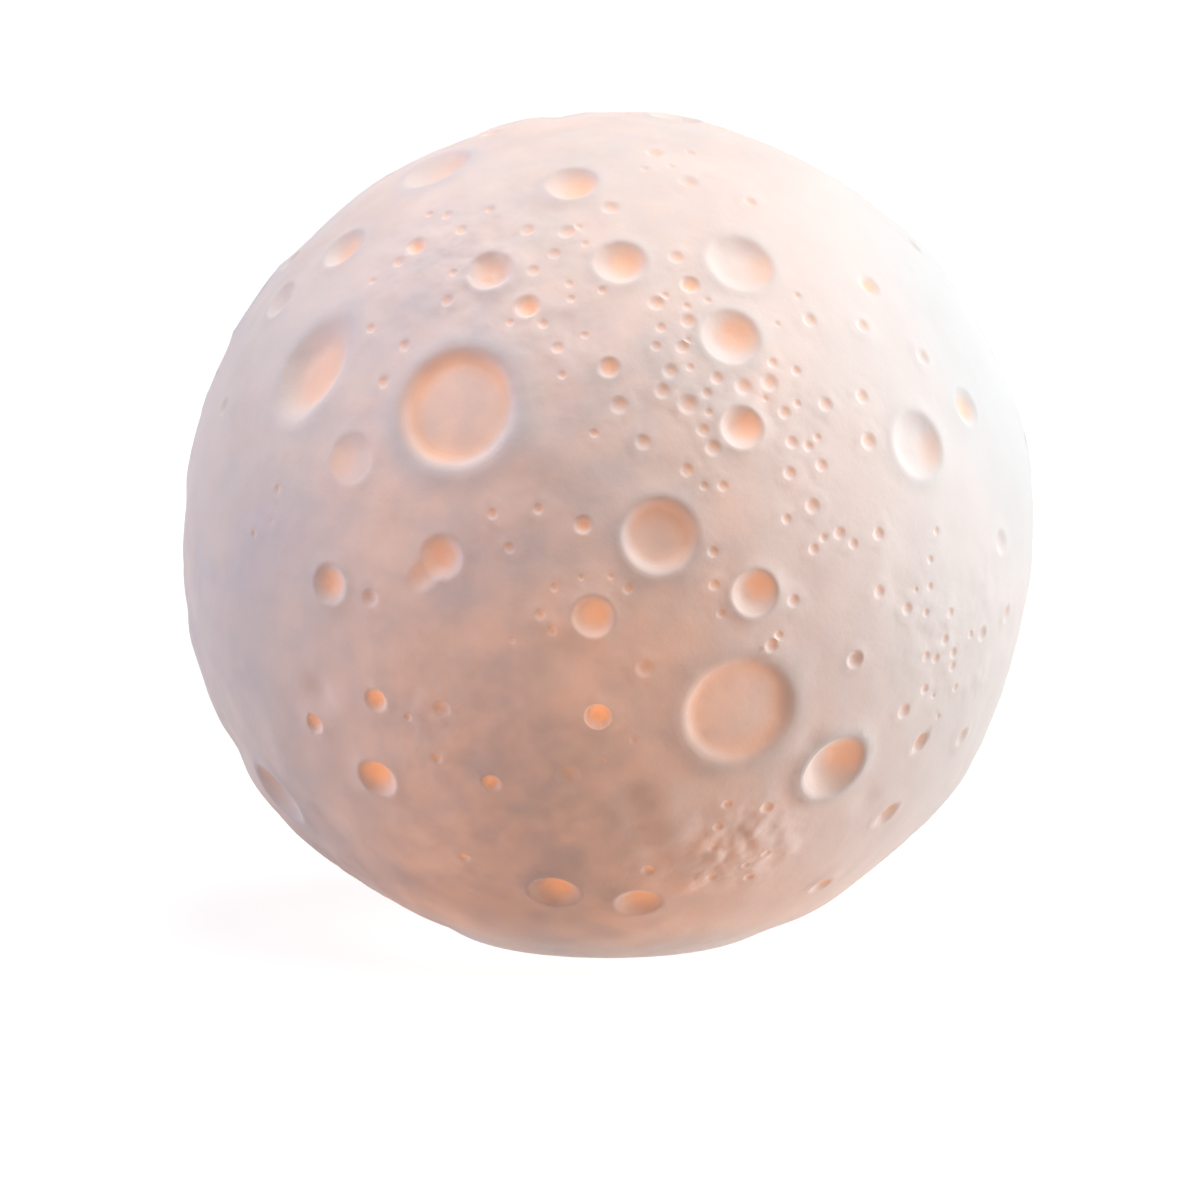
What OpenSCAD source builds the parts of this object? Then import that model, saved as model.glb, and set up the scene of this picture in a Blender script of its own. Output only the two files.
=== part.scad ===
// Moon lamp: a printed, cratered globe glued to a collar that clips over a small
// base. The base holds a control board, a lithium cell in a tube, and the lights.
// Millimetres. +Z is up. The origin is on the table, under the globe's centre.

/* [Globe] */
// Radius of the globe
globe_r = 75; // [70:0.5:90]
// Thickness of the printed wall
shell_wall = 3.2; // [2.9:0.1:4]
// Width of the flat edge left round the opening underneath
rest_width = 3; // [2:0.1:5]
// Height of the globe's flat edge above the table
shell_lift = 0.6; // [0.4:0.05:0.75]

/* [Craters] */
// Height of the raised rim round the larger craters
rim_rise = 0.45; // [0.2:0.05:0.7]
// Radius of a rim's foot compared with its crater
rim_spread = 1.45; // [1.3:0.05:1.6]
// Smallest crater that has a raised rim
rim_from_r = 3; // [2.5:0.5:6]
// Number of places tried for the larger craters round the back
back_large = 80; // [60:2:100]
// Number of places tried for the smaller craters round the back
back_small = 230; // [160:10:260]

/* [Collar] */
// Wall of the collar round the housing
collar_wall = 2; // [1.6:0.1:2.6]
// Height of the collar's sleeve
sleeve_h = 7.3; // [6:0.1:9]
// Width of the collar's wing, which is glued to the globe's inner wall
wing_w = 9; // [6:0.5:12]
// Thickness of the collar's wing
wing_t = 2.5; // [2:0.1:3.5]

/* [Base] */
// Outer radius of the housing
housing_r = 20.5; // [20:0.1:22]
// Wall of the housing
housing_wall = 1.8; // [1.5:0.1:2]
// Height of the housing above its flange
housing_h = 20.8; // [19:0.1:26]
// Thickness of the housing's flange
flange_t = 1.6; // [1.2:0.1:2.4]
// Thickness of the cover plate underneath
cover_t = 2.8; // [2.6:0.1:3.4]
// Height of the cover plate above the table
cover_lift = 0.8; // [0.7:0.05:1.2]
// Depth of the groove that holds the foot ring
foot_groove = 1; // [0.8:0.05:1.2]
// Width of the foot ring
foot_w = 6.2; // [5.2:0.1:6.6]
// How far each snap hook reaches over the collar
hook_reach = 1.4; // [1:0.1:1.8]

/* [Button] */
// Radius of the button's face
button_r = 5; // [4.4:0.1:5.2]
// How far the button travels
button_travel = 0.8; // [0.5:0.05:1]
// How deep the button's face sits in the cover
button_recess = 0.6; // [0.3:0.05:0.8]
// Height of the button's stem
stem_h = 3.4; // [3:0.1:4.5]
// Width of the trim ring
trim_w = 1.9; // [1.2:0.1:2]

/* [Electronics] */
// Thickness of the control board
board_t = 1.6; // [1.2:0.1:2]
// Width of the charging socket's shell
socket_w = 9; // [8.9:0.02:9.1]
// Thickness of the charging socket's shell
socket_h = 3.3; // [3.2:0.02:3.4]
// Distance from the middle to the charging socket
socket_y = 10.6; // [10.4:0.1:11]
// Radius of the light pipe's tip
pipe_r = 1; // [0.8:0.05:1.3]
// Radius of one wire over its insulation
wire_r = 0.6; // [0.5:0.05:0.7]

/* [Light post] */
// Radius of the lithium cell
cell_r = 9.15; // [9:0.05:9.3]
// Length of the lithium cell
cell_h = 35; // [33:0.5:40]
// Room between the cell and the tube round it
cell_gap = 2.35; // [2.25:0.05:2.8]
// Wall of the tube round the cell
tube_wall = 1.5; // [1.2:0.1:1.8]
// Thickness of the aluminium plate under the light board
heatsink_t = 1.5; // [1.2:0.1:2.5]
// Thickness of the light board
light_board_t = 1.2; // [1:0.1:1.6]
// Number of light chips in the ring
chip_count = 9; // [5:1:10]
// Radius of the ring of light chips
chip_ring_r = 9; // [7.5:0.1:10]
// Wall of the milky dome
dome_wall = 1.4; // [1.2:0.1:1.5]

/* [Hidden] */
$fn = 64;
eps = 0.01;

// Clearances
fit_gap = 0.2;
glue_gap = 0.1;
slide_gap = 0.08;
loose_gap = 0.3;

// Radii from the housing outwards
housing_in_r = housing_r - housing_wall;
collar_in_r = housing_r + fit_gap;
collar_out_r = collar_in_r + collar_wall;
opening_r = collar_out_r + loose_gap;
flange_r = opening_r - 2 * fit_gap;
rest_r = opening_r + rest_width;
wing_r = opening_r + wing_w;

// Globe, and how deep a rim's cone is rooted in its wall
rim_root = 0.5;
globe_z = shell_lift + sqrt(globe_r * globe_r - rest_r * rest_r);
inner_r = globe_r - shell_wall;

// Heights of the base, from the table upwards
cover_top = cover_lift + cover_t;
groove_top = cover_lift + foot_groove;
flange_top = cover_top + flange_t;
sleeve_top = flange_top + sleeve_h;
housing_top = flange_top + housing_h;
plate_t = 1.8;
plate_z = housing_top - plate_t;

// Button and switch
button_flange_t = 1;
button_flange_w = 1;
button_z = cover_lift + button_recess;
button_seat = cover_top + slide_gap;
stem_r = 2;
stem_top = button_seat + button_flange_t + stem_h;
plunger_r = 1.7;
plunger_out = 1.5;
plunger_in = 1;
switch_w = 6;
switch_h = 3.5;
switch_z = stem_top + plunger_out;
board_z = switch_z + switch_h;
board_top = board_z + board_t;
board_r = housing_in_r - fit_gap * 2;
dish_depth = 0.5;
dish_r = 4 * button_r;
trim_in_r = button_r + 0.5;
trim_t = 0.9;
trim_proud = 0.3;

// Screws: shank radius, head radius, head height
small_screw = [1, 1.9, 0.9];
tiny_screw = [0.8, 1.4, 0.9];
screw_bite = 6;
cross_w = 0.4;
cross_share = 0.6;
pillar_r = 2.7;
pillar_ring_r = housing_in_r - pillar_r + 1.2;
pillar_angles = [90, 210, 330];
post_r = 2.1;
post_angles = [30, 150, 270];
head_pocket = 1;

// Foot ring, which hides the screws in the cover
foot_in_r = pillar_ring_r - small_screw[1] - fit_gap - loose_gap;
foot_out_r = foot_in_r + foot_w;
foot_bevel = 0.5;
foot_grip_w = 1;
foot_grip_h = 0.3;

// Snap hooks
hook_w = 6;
hook_h = 2;
hook_slit = 0.8;
hook_slit_h = 7;
slit_z = sleeve_top + hook_h - hook_slit_h;
hook_angles = [0, 120, 240];

// Charging socket
socket_z = cover_lift + 0.4;
socket_wall = 0.3;
socket_throat = 6.2;
tongue_w = 6.7;
tongue_t = 0.7;
tongue_short = 0.8;

// Indicator
pipe_y = -10.5;
pipe_body_r = pipe_r + 0.6;
indicator_size = [1.6, 0.8, 0.8];
indicator_z = board_z - indicator_size.z;

// Wires, which run between the cell and its tube
tube_in_r = cell_r + cell_gap;
wire_x = tube_in_r - wire_r - 0.5;
wire_pitch = 2;

// Board parts
plug_size = [4.5, 6, 5.5];
plug_hole = 2;
wire_foot_z = board_top + plug_size.z - plug_hole;
chip_size = [5, 4, 1.5];
chip_place = [2, 9];
leg_pitch = 1.27;
leg_size = [0.4, 1.2, 0.3];
coil_size = [6, 6, 3];
coil_place = [-5, -9.5];
coil_groove = [2.6, 1.8, 0.4];
capacitor_size = [3.2, 1.6, 1.4];
capacitor_places = [[-8, 8], [-8, 10.6], [2.5, -8.5], [2.5, -11.1], [7, -7.5]];

// Light post
post_z = housing_top;
foot_flange_r = tube_in_r + tube_wall + 3;
foot_flange_t = 2;
tube_out_r = tube_in_r + tube_wall;
pad_t = 2;
tab_t = 0.3;
tab_w = 4;
tab_over = 0.4;
tab_end_w = 1.6;
crimp_r = 0.8;
crimp_down = 3.4;
cap_r = 4;
cap_h = 0.6;
cap_groove_w = 3.6;
cell_z = post_z + pad_t + tab_t;
cell_top = cell_z + cell_h;
tube_top = cell_top + tab_t + pad_t;
head_flange_t = 3;
head_r = tube_out_r + 3;
heatsink_top = tube_top + heatsink_t;
light_top = heatsink_top + light_board_t;
light_board_r = head_r - 0.4;
tube_screw_r = tube_out_r + 1.5;
rib_t = 1.4;
chip_body = [2.8, 3.5, 0.8];
dome_in_r = head_r + fit_gap / 2;
dome_out_r = dome_in_r + dome_wall;
dome_z = light_top + 1;
dome_foot_z = tube_top - head_flange_t;

// Crater map, seen from the front at camera_tilt above the horizon on a globe of
// map_r. Each row: distance right, distance up, radius, depth, and 1 for a flat floor.
camera_tilt = 10;
map_r = 75;
front_craters = [
    [-26.7, 22.8, 10.6, 1.8, 1],
    [23.3, -31.1, 9.9, 1.5, 1],
    [9.2, 0.2, 6.4, 1.6, 1],
    [-52.3, 29.9, 9.6, 1.7, 0],
    [23.5, 48.4, 6.7, 1.5, 0],
    [21.7, 35.3, 5.6, 2.3, 0],
    [2.1, 48.4, 4.9, 2.2, 0],
    [54.9, 16.3, 6.7, 1.8, 0],
    [40.1, -41, 6.2, 2.3, 0],
    [-6.4, 62.5, 4.9, 1.9, 0],
    [-20.8, 47, 4.4, 2, 0],
    [23.7, 19.3, 4.1, 2.1, 0],
    [26, -10.1, 4.4, 2, 0],
    [-2.7, -14.3, 3.9, 1.5, 1],
    [-29.3, -3.9, 3.5, 1.7, 0],
    [-34.3, -8.1, 2.1, 1, 0],
    [-49.3, -8.3, 3.9, 1.8, 0],
    [-40.8, -42.9, 4.1, 2, 0],
    [-41.2, -29.2, 2.3, 1.6, 0],
    [-51.9, -33.2, 2.1, 1.5, 0],
    [-1.8, -32, 2.5, 1.7, 0],
    [-20.7, -43.8, 1.9, 1.3, 0],
    [-6.9, -42, 2.7, 0.8, 0],
    [-9.7, -63.1, 4.8, 1.8, 0],
    [5.3, -65, 4.4, 1.3, 0],
    [-46.8, 51.1, 4.9, 1.6, 0],
    [-30.4, 65, 6.7, 1.8, 0],
    [-58.3, -45.8, 6.7, 1.8, 0],
    [63.4, 23, 4.1, 1.6, 0],
    [-45.6, 13.8, 5.2, 1.1, 0],
    [-58, 41.9, 3.9, 1.2, 0],
    [-4.4, 1.9, 1.8, 1, 0],
    [-14.3, 40.6, 2.5, 1.2, 0],
    [-33.9, 51.4, 2.1, 1.3, 0],
    [0.2, 29.9, 2.1, 1.3, 0],
    [14.5, 44.5, 1.9, 1.1, 0],
    [46.3, 44.5, 2.5, 1.3, 0],
    [43.8, -21.9, 1.8, 1.2, 0],
    [55.5, -36.7, 1.9, 1.3, 0],
    [8.3, 68, 1.8, 0.9, 0],
    [-68.2, 23, 1.9, 1, 0],
    [66.3, -17.3, 1.6, 1, 0]
];

// The back repeats these radii and depths in turn along two spirals of places
back_radii = [4.2, 7.6, 3.4, 5.2, 9.4, 3.8, 6.1, 4.6, 3.2, 8.3, 5.6];
back_depths = [1.8, 1.7, 1.6, 2, 1.6, 1.7, 1.9, 1.8, 1.5, 1.7, 1.9];
small_radii = [1.8, 2.6, 1.6, 2.1, 1.9];
small_depth = 1.2;
golden_angle = 137.508;
back_from = -0.08;

function unit(v) = v / norm(v);
// Turns a direction in the tilted front view into the globe's own directions
function tilt(v) = [
    v.x,
    v.y * cos(camera_tilt) + v.z * sin(camera_tilt),
    v.z * cos(camera_tilt) - v.y * sin(camera_tilt)
];
function front_dir(c) = unit(tilt([c[0], -sqrt(map_r * map_r - c[0] * c[0] - c[1] * c[1]), c[1]]));
function spiral_dir(i, n) = let (h = 1 - (2 * i + 1) / n, s = sqrt(1 - h * h))
    [s * cos(golden_angle * i), s * sin(golden_angle * i), h];
// True on the side away from the map, clear of the opening underneath
function at_back(d, r) = d.y > back_from && acos(-d.z) * PI / 180 * globe_r > rest_r + r + 2;
// True when a crater of radius r at direction d stays clear of every crater in a list
function is_clear(d, r, list, spread) = len([
    for (c = list) if (acos(min(1, d * c[0])) * PI / 180 * globe_r < r + c[1] * spread) 1
]) == 0;

// Each crater below is direction, radius, depth, flat floor
front_list = [for (c = front_craters) [front_dir(c), c[2], c[3], c[4]]];
back_list = [
    for (i = [0:back_large - 1])
        let (
            d = spiral_dir(i, back_large),
            k = i % len(back_radii),
            r = back_radii[k]
        )
        if (at_back(d, r) && is_clear(d, r, front_list, rim_spread))
            [d, r, back_depths[k], r > 7 ? 1 : 0]
];
large_list = concat(front_list, back_list);
small_list = [
    for (i = [0:back_small - 1])
        let (
            d = spiral_dir(i, back_small),
            r = small_radii[i % len(small_radii)]
        )
        if (at_back(d, r) && is_clear(d, r + 1, large_list, rim_spread)) [d, r, small_depth, 0]
];
craters = concat(large_list, small_list);

// Height of a crater's rim above the globe's centre
function rim_height(r) = sqrt(globe_r * globe_r - r * r) + (r >= rim_from_r ? rim_rise : 0);

// Puts a shape on the globe with its own Z along direction d
module along(d) {
    translate([0, 0, globe_z])
        rotate([0, acos(d.z), atan2(d.y, d.x)])
            children();
}

// Low cone that lifts the rim of a crater of radius r and is rooted in the wall
module rim_mound(r) {
    foot = r * rim_spread;
    foot_h = sqrt(globe_r * globe_r - foot * foot);
    crest_h = rim_height(r);
    slope = (foot - r) / (crest_h - foot_h);
    translate([0, 0, foot_h - rim_root])
        cylinder(r1 = foot + slope * rim_root, r2 = r, h = crest_h - foot_h + rim_root, $fn = 96);
}

// Round bowl of radius r at the rim
module bowl(r, depth) {
    ball_r = (depth * depth + r * r) / (2 * depth);
    translate([0, 0, rim_height(r) - depth + ball_r])
        sphere(r = ball_r, $fn = 48);
}

// Crater with a flat floor and a sloping wall
module pan(r, depth) {
    slope = depth * 1.3;
    translate([0, 0, rim_height(r) - depth])
        cylinder(r1 = r - slope, r2 = r + slope, h = 2 * depth, $fn = 64);
}

module ring(r_out, r_in, h) {
    difference() {
        cylinder(r = r_out, h = h);
        translate([0, 0, -1])
            cylinder(r = r_in, h = h + 2);
    }
}

// Copies a shape round the Z axis, at the angles given and at distance r
module around(angles, r = 0) {
    for (a = angles)
        rotate([0, 0, a])
            translate([r, 0, 0])
                children();
}

// Flat outline with round ends, w wide and t thick
module stadium(w, t) {
    square([w - t, t], center = true);
    for (side = [-1, 1])
        translate([side * (w - t) / 2, 0])
            circle(r = t / 2, $fn = 32);
}

// Pan-headed screw whose head lies below z = 0 and whose shank points up
module screw(size, bite) {
    difference() {
        union() {
            translate([0, 0, -size[2]])
                cylinder(r = size[1], h = size[2], $fn = 32);
            translate([0, 0, -eps])
                cylinder(r = size[0], h = bite + eps, $fn = 32);
        }
        for (a = [0, 90])
            rotate([0, 0, a])
                translate([-size[1] * cross_share, -cross_w / 2, -size[2] - 1])
                    cube([2 * size[1] * cross_share, cross_w, 1 + size[2] * cross_share]);
    }
}

module moon_shell() {
    color("#F3ECE4")
    difference() {
        union() {
            translate([0, 0, globe_z])
                sphere(r = globe_r, $fn = 180);
            for (c = large_list)
                if (c[1] >= rim_from_r)
                    along(c[0])
                        rim_mound(c[1]);
        }
        translate([0, 0, globe_z])
            sphere(r = inner_r, $fn = 120);
        for (c = craters)
            along(c[0])
                if (c[3] == 1)
                    pan(c[1], c[2]);
                else
                    bowl(c[1], c[2]);
        translate([-globe_r, -globe_r, shell_lift - globe_r])
            cube([2 * globe_r, 2 * globe_r, globe_r]);
        cylinder(r = opening_r, h = globe_z / 2);
    }
}

module neck_collar() {
    color("#E9E6E0")
    difference() {
        union() {
            intersection() {
                difference() {
                    translate([0, 0, globe_z])
                        sphere(r = inner_r - glue_gap, $fn = 120);
                    translate([0, 0, globe_z])
                        sphere(r = inner_r - glue_gap - wing_t, $fn = 120);
                }
                cylinder(r = wing_r, h = globe_z / 2);
            }
            translate([0, 0, flange_top])
                cylinder(r = opening_r + wing_t, h = wing_t);
            translate([0, 0, flange_top])
                cylinder(r = collar_out_r, h = sleeve_h);
        }
        translate([0, 0, -1])
            cylinder(r = collar_in_r, h = globe_z);
        translate([0, 0, -1])
            cylinder(r = flange_r + fit_gap, h = 1 + flange_top);
    }
}

module base_housing() {
    color("#ECECEA")
    difference() {
        union() {
            translate([0, 0, cover_top])
                cylinder(r = flange_r, h = flange_t);
            translate([0, 0, cover_top])
                cylinder(r = housing_r, h = flange_t + housing_h);
            around(hook_angles, housing_r)
                translate([-housing_wall / 2, -hook_w / 2, sleeve_top + slide_gap])
                    cube([housing_wall / 2 + hook_reach, hook_w, hook_h]);
        }
        // Room inside, which leaves three pillars and three hanging posts
        difference() {
            translate([0, 0, cover_top - 1])
                cylinder(r = housing_in_r, h = plate_z - cover_top + 1);
            around(pillar_angles, pillar_ring_r)
                translate([0, 0, cover_top - 2])
                    cylinder(r = pillar_r, h = plate_z - cover_top + 3);
            around(post_angles, tube_screw_r)
                translate([0, 0, board_top])
                    cylinder(r = post_r, h = plate_z - board_top + 1);
        }
        around(pillar_angles, pillar_ring_r)
            translate([0, 0, cover_top - 1])
                cylinder(r = small_screw[0], h = screw_bite + 1, $fn = 32);
        around(post_angles, tube_screw_r)
            translate([0, 0, board_top - 1])
                cylinder(r = tiny_screw[0], h = screw_bite + 1, $fn = 32);
        around(post_angles, tube_screw_r)
            translate([0, 0, plate_z - 1])
                cylinder(r = tiny_screw[0], h = plate_t + 2, $fn = 32);
        // Slits that let each hook's tongue bend inwards
        around(hook_angles, housing_in_r - 1)
            for (side = [-1, 1])
                translate([0, side * (hook_w + hook_slit) / 2 - hook_slit / 2, slit_z])
                    cube([housing_wall + 2, hook_slit, hook_slit_h + 2]);
        for (side = [-1, 1])
            translate([side * wire_x - wire_pitch, -wire_pitch - wire_r, plate_z - 1])
                cube([2 * wire_pitch, 2 * (wire_pitch + wire_r), plate_t + 2]);
    }
}

module base_cover() {
    color("#E4E4E2")
    difference() {
        translate([0, 0, cover_lift])
            cylinder(r = flange_r, h = cover_t);
        translate([0, 0, cover_lift - 1])
            ring(foot_out_r + fit_gap / 2, foot_in_r - fit_gap / 2, foot_groove + 1);
        translate([0, 0, cover_lift - 1])
            cylinder(r = button_r + slide_gap, h = cover_t + 2);
        translate([0, 0, cover_lift - 1])
            ring(trim_in_r + trim_w, trim_in_r, 1 + trim_t - trim_proud);
        translate([0, socket_y, cover_lift - 1])
            linear_extrude(height = cover_t + 2)
                stadium(socket_w + 2 * fit_gap, socket_h + 2 * fit_gap);
        translate([0, pipe_y, cover_lift - 1])
            cylinder(r = pipe_r + fit_gap / 2, h = cover_t + 2, $fn = 32);
        around(pillar_angles, pillar_ring_r) {
            translate([0, 0, cover_lift - 1])
                cylinder(r = small_screw[1] + fit_gap, h = 1 + foot_groove + head_pocket, $fn = 32);
            translate([0, 0, cover_lift - 1])
                cylinder(r = small_screw[0], h = cover_t + 2, $fn = 32);
        }
    }
}

// Flat cut of a bevel on the ring's inner (1) or outer (-1) lower edge
module bevel_cut(side) {
    reach = 1 + foot_bevel;
    polygon([[-side, -1], [side * reach, -1], [-side, reach]]);
}

module foot_ring() {
    color("#D8D6D2")
    rotate_extrude()
        difference() {
            translate([foot_in_r, 0])
                square([foot_w, groove_top]);
            // Two bevelled lower edges and one shallow grip groove
            translate([foot_in_r, 0])
                bevel_cut(1);
            translate([foot_out_r, 0])
                bevel_cut(-1);
            translate([foot_in_r + foot_w / 2 - foot_grip_w / 2, -1])
                square([foot_grip_w, 1 + foot_grip_h]);
        }
}

module trim_ring() {
    color("#C9CBCE")
    translate([0, 0, cover_lift - trim_proud])
        ring(trim_in_r + trim_w, trim_in_r, trim_t);
}

module power_button() {
    color("#F4F4F2")
    difference() {
        union() {
            translate([0, 0, button_z])
                cylinder(r = button_r, h = button_seat - button_z + eps);
            translate([0, 0, button_seat])
                cylinder(r = button_r + button_flange_w, h = button_flange_t);
            translate([0, 0, button_seat])
                cylinder(r = stem_r, h = button_flange_t + stem_h);
        }
        // Shallow dish for the fingertip
        translate([0, 0, button_z + dish_depth - dish_r])
            sphere(r = dish_r, $fn = 96);
    }
}

module switch_plunger() {
    color("#2B2B2D")
    translate([0, 0, stem_top])
        cylinder(r = plunger_r, h = plunger_out + plunger_in);
}

module switch_body() {
    color("#303236")
    difference() {
        translate([-switch_w / 2, -switch_w / 2, switch_z])
            cube([switch_w, switch_w, switch_h]);
        translate([0, 0, switch_z - 1])
            cylinder(r = plunger_r + slide_gap, h = 1 + plunger_in + button_travel + loose_gap);
    }
}

module control_board() {
    color("#1F6B47")
    translate([0, 0, board_z])
        difference() {
            cylinder(r = board_r, h = board_t);
            around(pillar_angles, pillar_ring_r)
                translate([0, 0, -1])
                    cylinder(r = pillar_r + loose_gap, h = board_t + 2, $fn = 48);
            around(post_angles, tube_screw_r)
                translate([0, 0, -1])
                    cylinder(r = tiny_screw[0], h = board_t + 2, $fn = 32);
        }
}

module board_part(place, size) {
    translate([place.x - size.x / 2, place.y - size.y / 2, board_top])
        cube(size);
}

module charge_chip() {
    color("#2A2A2E") {
        board_part(chip_place, chip_size);
        // Eight flat legs
        for (side = [-1, 1], k = [-1.5:1:1.5])
            board_part(chip_place + [k * leg_pitch, side * 2.4], leg_size);
    }
}

module power_inductor() {
    color("#4A4A4C")
    difference() {
        board_part(coil_place, coil_size);
        translate([coil_place.x, coil_place.y, board_top + coil_size.z - coil_groove[2]])
            ring(coil_groove[0], coil_groove[1], 1);
    }
}

module board_capacitors() {
    color("#B89A6A")
    for (p = capacitor_places)
        board_part(p, capacitor_size);
}

module usb_socket() {
    color("#C4C7CA")
    translate([0, socket_y, socket_z])
        difference() {
            linear_extrude(height = board_z - socket_z)
                stadium(socket_w, socket_h);
            translate([0, 0, -1])
                linear_extrude(height = board_z - socket_z)
                    stadium(socket_w - 2 * socket_wall, socket_h - 2 * socket_wall);
        }
}

module usb_tongue() {
    color("#1B1B1D")
    translate([0, socket_y, socket_z]) {
        translate([0, 0, socket_throat])
            linear_extrude(height = board_z - socket_z - 1 - socket_throat)
                stadium(socket_w - 2 * socket_wall, socket_h - 2 * socket_wall);
        translate([-tongue_w / 2, -tongue_t / 2, tongue_short])
            cube([tongue_w, tongue_t, socket_throat - tongue_short + eps]);
    }
}

module indicator_led() {
    color("#F2E2A8")
    translate([-indicator_size.x / 2, pipe_y - indicator_size.y / 2, indicator_z])
        cube(indicator_size);
}

module light_pipe() {
    color("#DDE6EA") {
        translate([0, pipe_y, cover_lift + glue_gap])
            cylinder(r = pipe_r, h = cover_t, $fn = 32);
        translate([0, pipe_y, cover_top])
            cylinder(r = pipe_body_r, h = indicator_z - cover_top, $fn = 32);
    }
}

// Plug housing on the board with two wire holes in its top
module plug(side) {
    difference() {
        board_part([side * wire_x, 0], plug_size);
        for (k = [-0.5, 0.5])
            translate([side * wire_x, k * wire_pitch, wire_foot_z])
                cylinder(r = wire_r, h = plug_hole + 1, $fn = 24);
    }
}

module battery_connector() {
    color("#F0EEE6")
    plug(1);
}

module led_connector() {
    color("#F0EEE6")
    plug(-1);
}

module battery_tube() {
    color("#EDEDEB")
    difference() {
        union() {
            translate([0, 0, post_z])
                cylinder(r = foot_flange_r, h = foot_flange_t);
            translate([0, 0, post_z])
                cylinder(r = tube_out_r, h = tube_top - post_z);
            translate([0, 0, tube_top - head_flange_t])
                cylinder(r = head_r, h = head_flange_t);
        }
        difference() {
            translate([0, 0, post_z - 1])
                cylinder(r = tube_in_r, h = tube_top - post_z + 2);
            // Four ribs that steady the cell
            around([45:90:315])
                translate([cell_r + fit_gap / 2, -rib_t / 2, cell_z])
                    cube([tube_in_r, rib_t, cell_h]);
        }
        around(post_angles, tube_screw_r) {
            translate([0, 0, post_z - 1])
                cylinder(r = tiny_screw[0], h = foot_flange_t + 2, $fn = 32);
            translate([0, 0, tube_top - head_flange_t - 1])
                cylinder(r = tiny_screw[0], h = head_flange_t + 2, $fn = 32);
        }
    }
}

module battery_cell() {
    color("#3E7BB6")
    rotate_extrude()
        difference() {
            translate([0, cell_z])
                square([cell_r, cell_h]);
            // Crimped shoulder round the top cap
            translate([cell_r + crimp_r / 2, cell_top - crimp_down])
                circle(r = crimp_r, $fn = 24);
            translate([cap_r, cell_top - cap_h])
                square([cap_groove_w, 1]);
        }
}

module battery_pads() {
    color("#55565A")
    for (z = [post_z, cell_top + tab_t])
        translate([0, 0, z])
            cylinder(r = cell_r, h = pad_t);
}

// Metal strip from the middle of the cell's end to its wire
module tab(z, y) {
    translate([0, -tab_w / 2, z])
        cube([cell_r + tab_over, tab_w, tab_t]);
    translate([cell_r + tab_over - eps, y - tab_end_w / 2, z])
        cube([wire_x + tab_over - cell_r, tab_end_w, tab_t]);
}

module battery_tabs() {
    color("#B9BCC0") {
        tab(cell_z - tab_t, -wire_pitch / 2);
        tab(cell_top, wire_pitch / 2);
    }
}

module wire(x, y, z_low, z_high) {
    translate([x, y, z_low])
        cylinder(r = wire_r, h = z_high - z_low, $fn = 24);
}

module battery_leads() {
    color("#B3261E") {
        wire(wire_x, wire_pitch / 2, wire_foot_z, cell_top);
        wire(wire_x, -wire_pitch / 2, wire_foot_z, cell_z - tab_t);
    }
}

module led_leads() {
    color("#26262A")
    for (k = [-0.5, 0.5])
        wire(-wire_x, k * wire_pitch, wire_foot_z, heatsink_top);
}

module led_heatsink() {
    color("#BFC3C7")
    translate([0, 0, tube_top])
        difference() {
            cylinder(r = head_r, h = heatsink_t);
            around(post_angles, tube_screw_r)
                translate([0, 0, -1])
                    cylinder(r = tiny_screw[0], h = heatsink_t + 2, $fn = 32);
            for (k = [-0.5, 0.5])
                translate([-wire_x, k * wire_pitch, -1])
                    cylinder(r = wire_r + fit_gap, h = heatsink_t + 2, $fn = 24);
        }
}

module led_board() {
    color("#F7F7F4")
    translate([0, 0, heatsink_top])
        difference() {
            cylinder(r = light_board_r, h = light_board_t);
            around(post_angles, tube_screw_r)
                translate([0, 0, -1])
                    cylinder(r = tiny_screw[0], h = light_board_t + 2, $fn = 32);
        }
}

module led_chips() {
    color("#F6D36B") {
        around([for (k = [0:chip_count - 1]) (k + 0.5) * 360 / chip_count], chip_ring_r)
            translate([-chip_body.x / 2, -chip_body.y / 2, light_top])
                cube(chip_body);
        translate([-chip_body.x / 2, -chip_body.y / 2, light_top])
            cube(chip_body);
    }
}

module diffuser_dome() {
    color("#FBF4E6")
    rotate_extrude()
        difference() {
            union() {
                translate([0, dome_foot_z])
                    square([dome_out_r, dome_z - dome_foot_z]);
                translate([0, dome_z])
                    intersection() {
                        circle(r = dome_out_r, $fn = 128);
                        square([dome_out_r, dome_out_r]);
                    }
            }
            translate([-1, dome_foot_z - 1])
                square([dome_in_r + 1, dome_z - dome_foot_z + 1]);
            translate([0, dome_z])
                circle(r = dome_in_r, $fn = 128);
        }
}

module cover_screws() {
    color("#8E9296")
    around(pillar_angles, pillar_ring_r)
        translate([0, 0, groove_top + head_pocket])
            screw(small_screw, screw_bite);
}

module board_screws() {
    color("#8E9296")
    around(post_angles, tube_screw_r)
        translate([0, 0, board_z])
            screw(tiny_screw, board_t + screw_bite - 1);
}

// Screws that point down through the tube's lower flange
module tube_screws() {
    color("#8E9296")
    around(post_angles, tube_screw_r)
        translate([0, 0, post_z + foot_flange_t])
            rotate([180, 0, 0])
                screw(tiny_screw, foot_flange_t + plate_t);
}

module led_screws() {
    color("#8E9296")
    around(post_angles, tube_screw_r)
        translate([0, 0, light_top])
            rotate([180, 0, 0])
                screw(tiny_screw, light_board_t + heatsink_t + head_flange_t);
}

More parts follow.
